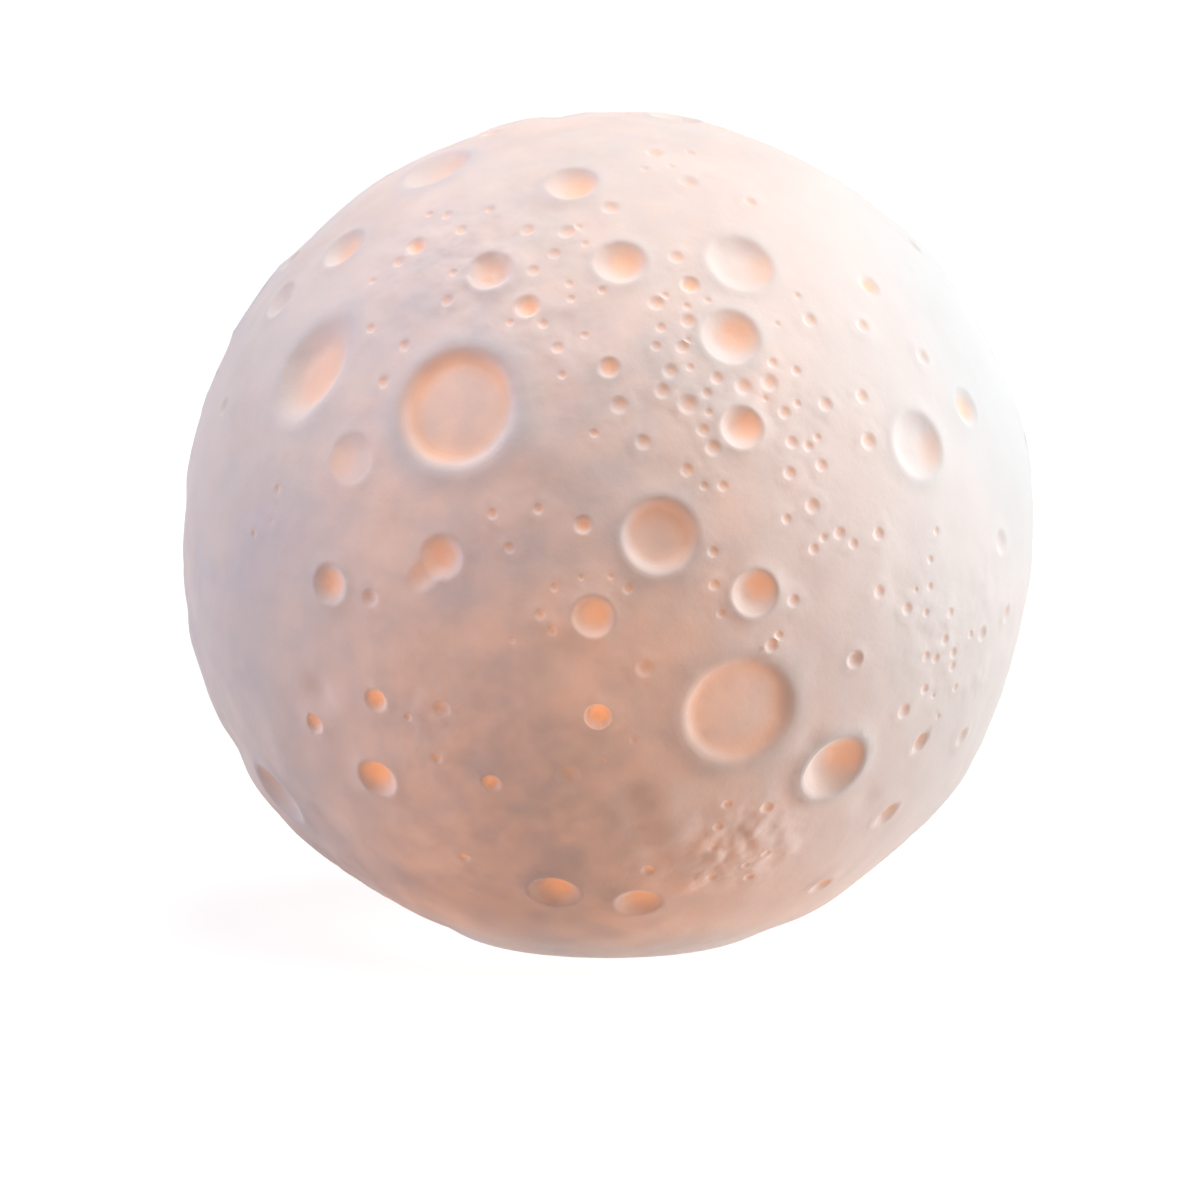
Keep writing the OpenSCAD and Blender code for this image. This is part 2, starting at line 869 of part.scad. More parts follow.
moon_shell();
neck_collar();
base_housing();
base_cover();
foot_ring();
trim_ring();
power_button();
switch_plunger();
switch_body();
control_board();
charge_chip();
power_inductor();
board_capacitors();
usb_socket();
usb_tongue();
indicator_led();
light_pipe();
battery_connector();
led_connector();
battery_tube();
battery_cell();
battery_pads();
battery_tabs();
battery_leads();
led_leads();
led_heatsink();
led_board();
led_chips();
diffuser_dome();
cover_screws();
board_screws();
tube_screws();
led_screws();
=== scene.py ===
import math
import bmesh
import bpy
import numpy as np
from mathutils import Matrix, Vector
from mathutils.geometry import delaunay_2d_cdt
from mathutils.kdtree import KDTree


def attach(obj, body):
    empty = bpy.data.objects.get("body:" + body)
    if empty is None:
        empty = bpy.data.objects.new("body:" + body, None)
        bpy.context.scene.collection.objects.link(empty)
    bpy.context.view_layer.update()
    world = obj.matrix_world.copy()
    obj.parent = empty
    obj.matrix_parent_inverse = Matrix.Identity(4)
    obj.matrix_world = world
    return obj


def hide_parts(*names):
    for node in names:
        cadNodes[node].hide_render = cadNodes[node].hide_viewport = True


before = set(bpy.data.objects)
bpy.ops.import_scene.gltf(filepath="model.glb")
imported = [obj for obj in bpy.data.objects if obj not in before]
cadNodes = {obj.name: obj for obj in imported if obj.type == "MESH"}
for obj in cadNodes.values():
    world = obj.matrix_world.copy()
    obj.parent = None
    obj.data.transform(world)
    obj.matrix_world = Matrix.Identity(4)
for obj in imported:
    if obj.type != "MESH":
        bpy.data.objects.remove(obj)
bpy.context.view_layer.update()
print("frame loaded with", len(cadNodes), "nodes")

mm = 0.001


# Small helpers for node trees

# An output of a node, so that sums and products of outputs can be written as such
class Signal:
    def __init__(self, socket):
        self.socket = socket

    def __add__(self, other):
        return calc("ADD", self, other)

    def __radd__(self, other):
        return calc("ADD", other, self)

    def __sub__(self, other):
        return calc("SUBTRACT", self, other)

    def __rsub__(self, other):
        return calc("SUBTRACT", other, self)

    def __mul__(self, other):
        return calc("MULTIPLY", self, other)

    def __truediv__(self, other):
        return calc("DIVIDE", self, other)

    def __rtruediv__(self, other):
        return calc("DIVIDE", other, self)


def plug(value, target):
    if isinstance(value, Signal):
        target.id_data.links.new(value.socket, target)
    else:
        target.default_value = value


def treeOf(*values):
    return next(v.socket.id_data for v in values if isinstance(v, Signal))


def addNode(tree, kind, sockets=None, **settings):
    made = tree.nodes.new(kind)
    for key, value in settings.items():
        setattr(made, key, value)
    for key, value in (sockets or {}).items():
        plug(value, made.inputs[key])
    return made


def output(tree, kind, name, sockets=None, **settings):
    return Signal(addNode(tree, kind, sockets, **settings).outputs[name])


def calc(operation, *values, clamp=False):
    sockets = dict(enumerate(values))
    return output(treeOf(*values), "ShaderNodeMath", 0, sockets, operation=operation, use_clamp=clamp)


def vectorCalc(operation, *values, scale=None):
    made = addNode(treeOf(*values), "ShaderNodeVectorMath", dict(enumerate(values)), operation=operation)
    if scale is not None:
        plug(scale, made.inputs["Scale"])
    return Signal(made.outputs["Value" if operation in ("DOT_PRODUCT", "LENGTH") else "Vector"])


def split(vector):
    made = addNode(treeOf(vector), "ShaderNodeSeparateXYZ", {0: vector})
    return [Signal(part) for part in made.outputs]


def remap(value, fromLow, fromHigh, toLow=0.0, toHigh=1.0, smooth=True):
    sockets = {"Value": value, "From Min": fromLow, "From Max": fromHigh, "To Min": toLow, "To Max": toHigh}
    kind = "SMOOTHSTEP" if smooth else "LINEAR"
    return output(treeOf(value), "ShaderNodeMapRange", "Result", sockets, interpolation_type=kind)


# 1 in the middle, falling off to both sides
def bell(ratio, steepness=1.0):
    return calc("EXPONENT", ratio * ratio * -steepness)


# Small helpers for objects and meshes

def addObject(name, data):
    made = bpy.data.objects.new(name, data)
    bpy.context.scene.collection.objects.link(made)
    return made


def setAttribute(mesh, name, values):
    values = np.array(values, np.float32)
    kind, key = ("FLOAT", "value") if values.ndim == 1 else ("FLOAT_VECTOR", "vector")
    mesh.attributes.new(name, kind, "POINT").data.foreach_set(key, values.ravel())


def finishedMesh(source, name):
    graph = bpy.context.evaluated_depsgraph_get()
    shown = source.evaluated_get(graph)
    mesh = bpy.data.meshes.new_from_object(shown, preserve_all_data_layers=True, depsgraph=graph)
    mesh.name = name
    return mesh


# Globe: sizes in millimetres, as the solid has them

globeSizes = {"radius": 75.0, "wall": 3.2, "openingRadius": 23.0, "restRadius": 26.0, "lift": 0.6}
globeRadius = globeSizes["radius"]
globeZ = globeSizes["lift"] + math.sqrt(globeRadius ** 2 - globeSizes["restRadius"] ** 2)
globeCentre = Vector((0, 0, globeZ * mm))

# Spacing of the skin's points in mm, and the rings of points in and round craters, in crater radii.
# Craters over roomyRadius keep clear of earlier points, and those up to plainRadius have every other ring
skinSizes = {
    "rimPoints": 150,
    "innerRings": 44,
    "spacing": 1.42,
    "finest": 0.2,
    "ringGap": 0.33,
    "fieldGap": 0.72,
    "edgeGap": 0.9,
    "pitRings": (0.4, 0.75, 1.0, 1.3),
    "pitSpacing": 0.45,
    "craterRings": (0.45, 0.68, 0.8, 0.88, 0.95, 1.0, 1.06, 1.16, 1.3),
    "craterSpacing": 0.16,
    "spacingLimits": (0.45, 0.75),
    "roomyRadius": 1.9,
    "plainRadius": 2.8,
}

# The view that the front is laid out on: a square picture, with the globe's middle at centreX, centreY
view = {
    "pixels": 1200,
    "centreX": 608,
    "centreY": 536,
    "lensMm": 255.5,
    "sensorMm": 36.0,
    "distanceMm": 1500.0,
    "tilt": math.radians(10),
    "craterShare": 0.9,
}
pixelsPerMm = view["pixels"] * view["lensMm"] / view["sensorMm"] / view["distanceMm"]
eyeRight = (view["pixels"] / 2 - view["centreX"]) / pixelsPerMm
eyeUp = (view["centreY"] - view["pixels"] / 2) / pixelsPerMm

# Craters of the front: x, y, radius in picture pixels, depth in mm, flat share, glow, rim in mm,
# stretch, turn,
# and where it isn't the usual one, how far the glow lies off the middle, in radii, and to which side,
# in degrees
faceCraters = [
    (457, 407, 65, 1.3, 0.83, 0.92, 0.55, 1, 0, 0.25, 142),
    (740, 712, 60, 0.9, 0.82, 0.62, 0.35, 1, 0, 0.2, 180),
    (660, 536, 39, 2.3, 0.7, 0.3, 0.35, 1, 0, 0.3, 62),
    (310, 368, 47, 2.5, 0.47, 0.8, 0.2, 1.36, 54, 0.05, 330),
    (741, 262, 37, 1.25, 0.47, 0.5, 0.3, 1, 0, 0.95, 5),
    (731, 336, 32, 2.1, 0.2, 0.85, 0.4, 1, 0, 0.45, 35),
    (620, 262, 28, 2.0, 0.25, 0.9, 0.4, 1, 0, 0.32, 45),
    (919, 444, 37, 1.35, 0.47, 0.45, 0.3, 1, 0, 0.95, 0),
    (835, 768, 35, 2.6, 0.3, 0.85, 0.6, 1.12, 40, 0.62, 15),
    (572, 182, 28, 1.8, 0.35, 0.9, 0.4, 1, 0, 0.22, 10),
    (490, 270, 25, 1.8, 0.3, 0.7, 0.35, 1, 0),
    (742, 427, 23, 1.9, 0.25, 0.85, 0.4, 1, 0, 0.5, 20),
    (755, 593, 25, 1.9, 0.25, 0.9, 0.4, 1, 0, 0.48, 40),
    (593, 617, 22, 1.5, 0.45, 0.72, 0.35, 1, 0),
    (441, 557, 24, 1.6, 0.3, 0.7, 0.1, 1, 0, 0.1, 140),
    (424, 574, 17, 0.7, 0.1, 0.35, 0, 1.5, 40),
    (329, 584, 22, 1.6, 0.2, 0.95, 0.2, 1, 0, 0.05, 180),
    (377, 779, 23, 1.9, 0.25, 1.5, 0.3, 1, 0),
    (375, 701, 13, 1.5, 0.2, 1.35, 0.2, 1, 0),
    (314, 724, 12, 1.4, 0.2, 1.0, 0.2, 1, 0),
    (598, 717, 15, 1.5, 0.4, 1.55, 0.3, 1, 0),
    (491, 784, 11, 1.2, 0.2, 1.3, 0.15, 1, 0),
    (568, 776, 15, 0.7, 0.2, 0.35, 0, 1, 0),
    (554, 893, 27, 1.8, 0.25, 1.2, 0.3, 1, 0),
    (638, 904, 25, 1.3, 0.3, 1.0, 0.2, 1, 0),
    (343, 247, 26, 2.0, 0.2, 0.7, 0.3, 1, 0, 0.1, 40),
    (436, 168, 38, 1.8, 0.3, 0.45, 0.35, 1, 0, 0.35, 20),
    (278, 795, 38, 1.8, 0.2, 0.25, 0.3, 1, 0),
    (967, 406, 22, 1.1, 0.2, 1.0, 0.15, 1, 0, 0.1, 0),
    (350, 458, 28, 0.5, 0.3, 0.35, 0.15, 1, 0, 0.5, 180),
    (280, 299, 22, 1.2, 0.1, 0, 0.2, 1, 0),
    (583, 525, 10, 1.0, 0.1, 0.8, 0.15, 1, 0),
    (527, 306, 14, 1.2, 0.3, 1.05, 0.2, 1, 0),
    (416, 245, 12, 1.2, 0.2, 0.95, 0.15, 1, 0),
    (609, 367, 12, 1.3, 0.1, 1.0, 0.2, 1, 0),
    (690, 284, 11, 1.1, 0.1, 1.1, 0.15, 1, 0),
    (870, 284, 15, 0.9, 0.1, 1.2, 0.05, 1, 0, 0.1, 0),
    (856, 660, 10, 0.8, 0.1, 0.2, 0.2, 1, 0),
    (922, 744, 11, 1.3, 0.1, 0.7, 0.15, 1.3, 60),
    (655, 151, 10, 0.7, 0.1, 0.7, 0.05, 1, 0),
    (222, 406, 11, 0.9, 0.1, 0, 0.1, 1, 0),
    (983, 634, 9, 0.8, 0, 0.2, 0.1, 1, 90),
    (888, 816, 14, 1.3, 0.1, 0.7, 0.2, 1.3, 40, 0.3, 30),
]

# Small pits of the front: x, y, radius, and glow where it isn't the usual one
facePits = [
    (645, 669, 8, 0.1), (619, 405, 8, 0.5), (688, 321, 7), (688, 404, 9, 0.5), (744, 386, 8, 0.5),
    (770, 382, 8, 0.5), (610, 207, 8), (688, 181, 9, 0.4), (826, 404, 7), (869, 441, 8),
    (370, 598, 8, 0.2),
    (441, 710, 8, 0.3), (1007, 614, 8), (1002, 542, 11, 0.1), (962, 737, 9), (923, 356, 8, 0.4),
    (821, 886, 11, 0.9),
    (527, 229, 7), (566, 231, 8, 0.6), (578, 226, 4), (585, 243, 4), (554, 253, 6), (533, 270, 6),
    (398, 261, 6, 0.5),
    (447, 214, 6), (429, 213, 4), (461, 229, 6), (490, 208, 5), (447, 300, 6), (453, 272, 4),
    (602, 290, 4),
    (569, 283, 4), (571, 298, 4), (645, 168, 4), (671, 165, 4), (750, 201, 6), (690, 151, 5),
    (676, 257, 7),
    (656, 303, 7), (665, 295, 4), (708, 300, 4), (687, 306, 4), (798, 295, 4), (810, 319, 7),
    (863, 325, 7),
    (863, 396, 7), (809, 446, 5), (818, 437, 4), (822, 465, 6), (370, 328, 5), (404, 345, 6),
    (372, 280, 4),
    (383, 382, 6), (557, 347, 6), (585, 334, 4), (562, 375, 4), (543, 323, 5), (510, 322, 4),
    (538, 509, 5, 0.5),
    (492, 514, 5), (594, 433, 4), (661, 327, 5), (656, 346, 5), (682, 347, 6), (688, 340, 3),
    (670, 371, 7),
    (690, 367, 4), (662, 391, 7), (707, 393, 5), (717, 378, 6), (773, 362, 5), (709, 412, 4),
    (703, 430, 6),
    (713, 448, 7), (785, 412, 6), (798, 403, 4), (792, 442, 6), (790, 473, 6), (643, 442, 7),
    (687, 470, 6),
    (704, 486, 4), (723, 486, 5), (813, 506, 7), (787, 519, 5), (778, 323, 3), (766, 398, 3),
    (797, 370, 5),
    (814, 549, 5), (824, 538, 4), (840, 533, 6), (854, 544, 5), (879, 534, 6), (937, 531, 4),
    (931, 560, 4),
    (880, 592, 6), (908, 609, 6), (917, 590, 3), (931, 587, 4), (927, 613, 4), (951, 613, 5),
    (946, 640, 5),
    (927, 657, 5), (937, 659, 5), (954, 653, 5), (953, 667, 5), (971, 635, 4), (926, 690, 5),
    (935, 697, 3),
    (939, 717, 3), (956, 688, 4), (905, 712, 7), (509, 548, 5, 0.5), (540, 615, 5, 0.6), (554, 588, 4),
    (552, 631, 5), (512, 641, 3), (628, 589, 5, 0.5), (611, 577, 3), (581, 578, 3), (794, 601, 6),
    (771, 646, 6),
    (779, 635, 4), (714, 585, 5), (721, 614, 4), (713, 552, 5), (464, 859, 5, 0.9), (648, 871, 6, 1.1),
    (712, 879, 5), (749, 878, 5), (718, 828, 5), (727, 805, 5), (767, 809, 6), (713, 849, 4),
    (746, 866, 4),
    (766, 854, 5), (253, 533, 4), (270, 521, 3), (276, 489, 4), (407, 718, 4), (437, 759, 5),
    (633, 741, 3),
    (603, 762, 3),
]

# Soft swells and dents: x, y, radius in pixels, height in mm, roughness in mm
faceSwells = [
    (555, 205, 30, -0.35, 0), (570, 325, 30, -0.4, 0), (911, 540, 22, -0.35, 0), (807, 583, 22, -0.35, 0),
    (896, 590, 20, -0.3, 0), (245, 445, 26, -0.35, 0), (318, 692, 20, -0.9, 0), (565, 660, 30, -0.45, 0),
    (332, 825, 30, -0.3, 0), (645, 830, 46, 0.5, 0), (600, 845, 40, -0.3, 0), (535, 450, 34, 0.6, 0),
    (1008, 632, 20, -0.3, 0), (980, 680, 26, -0.3, 0.4), (275, 736, 30, 0.35, 0),
    (745, 845, 56, 0.1, 0.75),
    (870, 845, 26, -0.35, 0), (930, 640, 60, 0, 0.16), (690, 420, 120, 0, 0.03), (255, 600, 60, 0, 0.06),
    (470, 245, 100, 0, 0.42), (560, 330, 80, 0, 0.22), (430, 720, 60, 0, 0.2), (680, 350, 70, 0, 0.06),
    (985, 600, 50, 0, 0.2),
    (632, 800, 17, -0.75, 0), (641, 830, 17, -0.8, 0), (654, 858, 16, -0.7, 0), (668, 800, 20, 0.6, 0),
    (676, 832, 20, 0.6, 0),
    (730, 835, 12, -0.45, 0), (775, 860, 12, -0.45, 0), (788, 848, 12, 0.6, 0), (752, 828, 10, 0.5, 0),
    (716, 858, 10, 0.5, 0),
    (790, 790, 18, -0.35, 0), (812, 742, 12, -0.45, 0), (775, 705, 18, -0.3, 0),
    (868, 800, 18, -0.5, 0), (700, 880, 26, 0, 0.5),
]

# Swells along the outline: degrees from the right, height in mm, half width in degrees
outlineSwells = [
    (12, 0.7, 9), (40, 0.85, 8), (62, -0.35, 10), (110, -0.9, 9), (130, -0.75, 11), (190, 0.2, 8),
    (203, 0.95, 9),
    (216, 1.3, 8), (226, 0.8, 7), (252, -0.5, 12), (268, -0.35, 10), (284, -0.45, 8), (300, 0.5, 8),
    (324, 1.1, 9),
    (346, -0.5, 9),
]

# Narrow dents and bumps of the outline, which run on along the line of sight
outlineSteps = [
    (70, -0.5, 2.6), (77, 0.3, 3), (90, -0.3, 3), (96.5, -1.3, 2.8), (176, -0.45, 3), (194, 0.5, 4),
    (210, -0.8, 3), (234, -0.3, 3),
    (18, 0.35, 4), (78, -0.35, 4),
]

# Where along the line of sight each of those stands, and its share of the height
stepSizes = {"toward": (-0.11, -0.05, 0.01), "share": 0.6}

# Pits of the front: depth and rim as shares of their radius, with limits in mm
pitSizes = {
    "glow": 0.55,
    "depthShare": 0.37,
    "depthLimit": 0.75,
    "rimShare": 0.24,
    "rimLimit": 1.4,
    "widthShare": 1.1,
    "glowOff": 0.4,
}

# The back, where craters and pits follow a spiral, in mm. A glow has its least value, a step, and the
# number of values that take turns
backSizes = {
    "largeCount": 80,
    "largeRadii": (4.2, 7.6, 3.4, 5.2, 9.4, 3.8, 6.1, 4.6, 3.2, 8.3, 5.6),
    "largeDepths": (1.8, 1.7, 1.6, 2.0, 1.6, 1.7, 1.9, 1.8, 1.5, 1.7, 1.9),
    "largeRim": 0.42,
    "largeFlat": 0.25,
    "largeGlow": (0.35, 0.1, 5),
    "wideOver": 7,
    "wideFlat": 0.72,
    "smallCount": 230,
    "smallRadii": (1.8, 2.6, 1.6, 2.1, 1.9),
    "smallDepth": 1.2,
    "smallRim": 0.2,
    "smallFlat": 0.15,
    "smallGlow": (0.4, 0.15, 4),
    "smallGap": 1,
    "pitCount": 900,
    "pitRadii": (0.7, 1.1, 0.8, 0.65, 1.3, 0.9, 0.75),
    "pitPatch": 0.55,
    "pitGap": 0.5,
    "pitShares": {"width": 0.95, "depth": 0.5, "rim": 0.16},
    "pitGlow": 0.5,
    "pitGlowOff": 0.35,
    "goldenAngle": math.radians(137.508),
    "spread": 1.45,
    "pitSpread": 1.1,
    "from": -0.08,
    "footGap": 2,
}


def unit(vector):
    return vector / np.linalg.norm(vector)


def tilted(right, toward, up):
    turn = view["tilt"]
    return np.array((
        right,
        toward * math.cos(turn) + up * math.sin(turn),
        up * math.cos(turn) - toward * math.sin(turn),
    ))


# Where the line of sight through a picture point meets the globe: its direction, and its share of the way
def facePlace(x, y):
    right = (x - view["centreX"]) / pixelsPerMm - eyeRight
    up = (view["centreY"] - y) / pixelsPerMm - eyeUp
    far = view["distanceMm"]
    square = right ** 2 + up ** 2 + far ** 2
    half = far ** 2 - eyeRight * right - eyeUp * up
    rest = eyeRight ** 2 + eyeUp ** 2 + far ** 2 - globeRadius ** 2
    share = (half - math.sqrt(max(half ** 2 - square * rest, 0))) / square
    return unit(tilted(eyeRight + share * right, -far * (1 - share), eyeUp + share * up)), share


# A way across the picture, in degrees from the right
def pictureWay(degrees, toward=0.0):
    angle = math.radians(degrees)
    return tilted(math.cos(angle), toward, math.sin(angle))


def roundAxis(turn, wide, height):
    return np.stack((wide * np.cos(turn), wide * np.sin(turn), height + 0 * turn), 1)


def spiralDirections(count):
    steps = np.arange(count)
    height = 1 - (2 * steps + 1) / count
    return roundAxis(steps * backSizes["goldenAngle"], np.sqrt(1 - height ** 2), height)


def arc(a, b):
    return math.acos(max(-1, min(1, float(a @ b)))) * globeRadius


def isFree(direction, radius, taken, spread):
    return all(arc(direction, c["direction"]) >= radius + c["radius"] * spread for c in taken)


def atBack(direction, radius):
    below = np.array((0, 0, -1.0))
    clear = globeSizes["restRadius"] + radius + backSizes["footGap"]
    return direction[1] > backSizes["from"] and arc(direction, below) > clear


def onSurface(vector, direction):
    return unit(vector - direction * (vector @ direction))


# The glow lies towards the side of a crater that the lamps leave in shade
def glowPlace(direction, radius, off, degrees):
    away = onSurface(pictureWay(degrees), direction)
    return unit(direction + away * off * radius / globeRadius)


def crater(direction, radius, depth, flat, glow, rim, stretch=1, axis=None, off=0.16, side=None):
    if side is None:
        side = 40 if direction[0] > -0.2 else 140
    return {
        "direction": direction, "radius": radius, "depth": depth, "flat": flat, "glow": glow,
        "rim": rim, "stretch": stretch, "axis": np.array((0, 0, 1.0)) if axis is None else axis,
        "glowAt": glowPlace(direction, radius, off, side),
    }


def faceCrater(x, y, radius, depth, flat, glow, rim, stretch, turn, *shift):
    direction, share = facePlace(x, y)
    axis = onSurface(pictureWay(turn), direction)
    size = radius * view["craterShare"] * share / pixelsPerMm
    return crater(direction, size, depth, flat, glow, rim, stretch, axis, *shift)


def facePit(x, y, pixels, glow=pitSizes["glow"]):
    direction, share = facePlace(x, y)
    radius = pixels * share / pixelsPerMm
    depth = min(pitSizes["depthShare"] * radius, pitSizes["depthLimit"])
    rim = pitSizes["rimShare"] * min(radius, pitSizes["rimLimit"])
    wide = radius * pitSizes["widthShare"]
    return crater(direction, wide, depth, 0.0, glow, rim, off=pitSizes["glowOff"])


# Steps of the spiral that lie on the back and clear of what is there already
def backPlaces(kind, taken, spread, room):
    count, radii = backSizes[kind + "Count"], backSizes[kind + "Radii"]
    for step, direction in enumerate(spiralDirections(count)):
        radius = radii[step % len(radii)]
        if atBack(direction, radius) and isFree(direction, radius + room, taken, spread):
            yield step, direction, radius


# Pits gather in patches, as they do in front
def inPatch(direction, step):
    wave = math.sin(direction[0] * 5.1 + 1.3) + math.sin(direction[2] * 6.3 - 0.4)
    return wave + math.sin(step * 1.7) * 0.7 > backSizes["pitPatch"]


def backGlow(kind, step):
    least, more, turns = backSizes[kind + "Glow"]
    return least + more * (step % turns)


def backPit(direction, radius):
    share, glow, off = (backSizes["pit" + key] for key in ("Shares", "Glow", "GlowOff"))
    depth, rim = share["depth"] * radius, share["rim"] * radius
    return crater(direction, radius * share["width"], depth, 0.0, glow, rim, off=off)


def listBack(front):
    found = list(front)
    depths, spread = backSizes["largeDepths"], backSizes["spread"]
    for step, direction, radius in backPlaces("large", front, spread, 0):
        depth, glow = depths[step % len(depths)], backGlow("large", step)
        flat = backSizes["wideFlat"] if radius > backSizes["wideOver"] else backSizes["largeFlat"]
        found.append(crater(direction, radius, depth, flat, glow, backSizes["largeRim"]))
    depth, flat, rim = (backSizes["small" + key] for key in ("Depth", "Flat", "Rim"))
    for step, direction, radius in backPlaces("small", list(found), spread, backSizes["smallGap"]):
        found.append(crater(direction, radius, depth, flat, backGlow("small", step), rim))
    places = backPlaces("pit", found, backSizes["pitSpread"], backSizes["pitGap"])
    pits = [backPit(direction, radius) for step, direction, radius in places if inPatch(direction, step)]
    return found, pits


def swell(direction, radius, height, rough=0):
    return {"direction": direction, "radius": radius, "height": height, "rough": rough}


def listSwells():
    found = []
    for x, y, radius, height, rough in faceSwells:
        direction, share = facePlace(x, y)
        found.append(swell(direction, radius * share / pixelsPerMm, height, rough))
    for degrees, height, half in outlineSwells:
        found.append(swell(unit(pictureWay(degrees)), math.radians(half) * globeRadius, height))
    for degrees, height, half in outlineSteps:
        for toward in stepSizes["toward"]:
            direction = unit(pictureWay(degrees, toward))
            found.append(swell(direction, math.radians(half) * globeRadius, height * stepSizes["share"]))
    return found


craters, backPits = listBack([faceCrater(*row) for row in faceCraters])
pits = [facePit(*row) for row in facePits] + backPits
swells = listSwells()
print("craters", len(craters), "pits", len(pits), "swells", len(swells))


def acrossVectors(direction):
    helper = np.array((0, 0, 1.0)) if abs(direction[2]) < 0.9 else np.array((1.0, 0, 0))
    first = unit(np.cross(direction, helper))
    return first, np.cross(direction, first)


def ringPoints(item, shares, spacing):
    first, second = acrossVectors(item["direction"])
    points = []
    for number, share in enumerate(shares):
        radius = item["radius"] * share
        count = max(6, int(2 * math.pi * radius / spacing))
        turn = (np.arange(count) + 0.5 * (number % 2)) * 2 * math.pi / count
        side = np.outer(np.cos(turn), first) + np.outer(np.sin(turn), second)
        angle = radius / globeRadius
        points.append(item["direction"] * math.cos(angle) + side * math.sin(angle))
    return np.concatenate(points)


def thinned(points):
    keys = np.round(points * globeRadius / skinSizes["finest"]).astype(int)
    kept = np.unique(keys, axis=0, return_index=True)[1]
    return points[np.sort(kept)]


# The points that lie further than a distance from others
def clearOf(points, others, distance):
    tree = KDTree(len(others))
    for number, other in enumerate(others):
        tree.insert(other, number)
    tree.balance()
    limit = distance / globeRadius
    return np.array([p for p in points if tree.find(p)[2] > limit])


def craterRings(item, earlier):
    closest, widest = skinSizes["spacingLimits"]
    spacing = max(closest, min(widest, item["radius"] * skinSizes["craterSpacing"]))
    every = 1 if item["radius"] > skinSizes["plainRadius"] else 2
    rings = ringPoints(item, skinSizes["craterRings"][::every], spacing)
    if item["radius"] > skinSizes["roomyRadius"]:
        rings = clearOf(rings, earlier, skinSizes["ringGap"])
    return rings


# Points are dense in and round the craters and sparse between them
def skinPoints():
    rest = math.asin(globeSizes["restRadius"] / globeRadius)
    turn = np.arange(skinSizes["rimPoints"]) * 2 * math.pi / skinSizes["rimPoints"]
    edge = roundAxis(turn, math.sin(rest), -math.cos(rest))
    gap, share = skinSizes["ringGap"], skinSizes["pitSpacing"]
    small = [ringPoints(p, skinSizes["pitRings"], max(gap, p["radius"] * share)) for p in pits]
    points = np.concatenate((edge, thinned(np.concatenate(small))))
    for item in sorted(craters, key=lambda c: c["radius"]):
        rings = craterRings(item, points)
        if len(rings):
            points = np.concatenate((points, rings))
    points = thinned(points)
    # A triangular grid has a point for each 0.866 squares of its spacing
    count = int(4 * math.pi * globeRadius ** 2 / (0.866 * skinSizes["spacing"] ** 2))
    field = clearOf(spiralDirections(count), points, skinSizes["fieldGap"])
    points = np.concatenate((points, field))
    lowest = -math.cos(rest + skinSizes["edgeGap"] / globeRadius)
    return np.concatenate((edge, points[points[:, 2] > lowest]))


def innerRings():
    innerRadius = globeRadius - globeSizes["wall"]
    swing = math.pi - math.asin(globeSizes["openingRadius"] / innerRadius)
    yield globeSizes["openingRadius"], globeSizes["lift"] - globeZ
    for step in range(skinSizes["innerRings"]):
        angle = swing - swing * step / skinSizes["innerRings"]
        yield innerRadius * math.sin(angle), innerRadius * math.cos(angle)


# The outside is meshed flat, as seen from under the globe, and the inside is built in rings
def buildSkinMesh():
    points = skinPoints()
    print("skin points", len(points))
    flat = points[:, :2] / (1 + points[:, 2:3])
    made = delaunay_2d_cdt([Vector(p) for p in flat.tolist()], [], [], 0, 1e-9)
    order = [o[0] for o in made[3]]
    faces = [tuple(order[i] for i in f) for f in made[2]]
    verts = (points * globeRadius).tolist()
    number = skinSizes["rimPoints"]
    turns = np.arange(number) * 2 * math.pi / number
    pairs = [(i, (i + 1) % number) for i in range(number)]
    last = list(range(number))
    for radius, z in innerRings():
        ring = [len(verts) + i for i in range(number)]
        verts += [(radius * math.cos(t), radius * math.sin(t), z) for t in turns]
        faces += [(last[i], ring[i], ring[j], last[j]) for i, j in pairs]
        last = ring
    verts.append((0, 0, globeRadius - globeSizes["wall"]))
    faces += [(last[i], len(verts) - 1, last[j]) for i, j in pairs]
    mesh = bpy.data.meshes.new("moonSkinBase")
    mesh.from_pydata([(x * mm, y * mm, (z + globeZ) * mm) for x, y, z in verts], [], faces)
    setAttribute(mesh, "outer", [float(i < len(points)) for i in range(len(verts))])
    mesh.update()
    return mesh


def tableObject(name, rows, numbers, vectors=()):
    mesh = bpy.data.meshes.new(name)
    mesh.from_pydata([tuple(r["direction"]) for r in rows], [], [])
    for key in (*numbers, *vectors):
        setAttribute(mesh, key, [r[key] for r in rows])
    return addObject(name, mesh)


# Geometry nodes that press the swells and craters into the skin

craterInputs = {
    "Globe Radius": 0.075,
    "Depth": 1.0,
    "Rim": 1.0,
    "Rim Width": 0.34,
    "Rim Place": 1.12,
    "Wall End": 1.14,
    "Glow End": 0.96,
    "Undulation": 0.00022,
    "Undulation Size": 0.021,
    "Ripple": 0.00012,
    "Ripple Size": 0.0055,
    "Grain": 0.00004,
    "Grain Scale": 190.0,
    "Sink": 0.0003,
    "Seed": 7,
}

# How far swells and craters reach, in radii, how fast swells fall off, the rim's inner width as a share of
# its outer one, the heights over the middle, in globe radii, between which the flat edge ends, and what
# noise is multiplied by
shapeSizes = {
    "swellReach": 2.4,
    "swellFall": 1.2,
    "craterReach": 1.9,
    "innerRim": 0.4,
    "edgeEnd": (-0.936, -0.90),
    "waveGain": 4.0,
    "groundGain": 3.0,
}

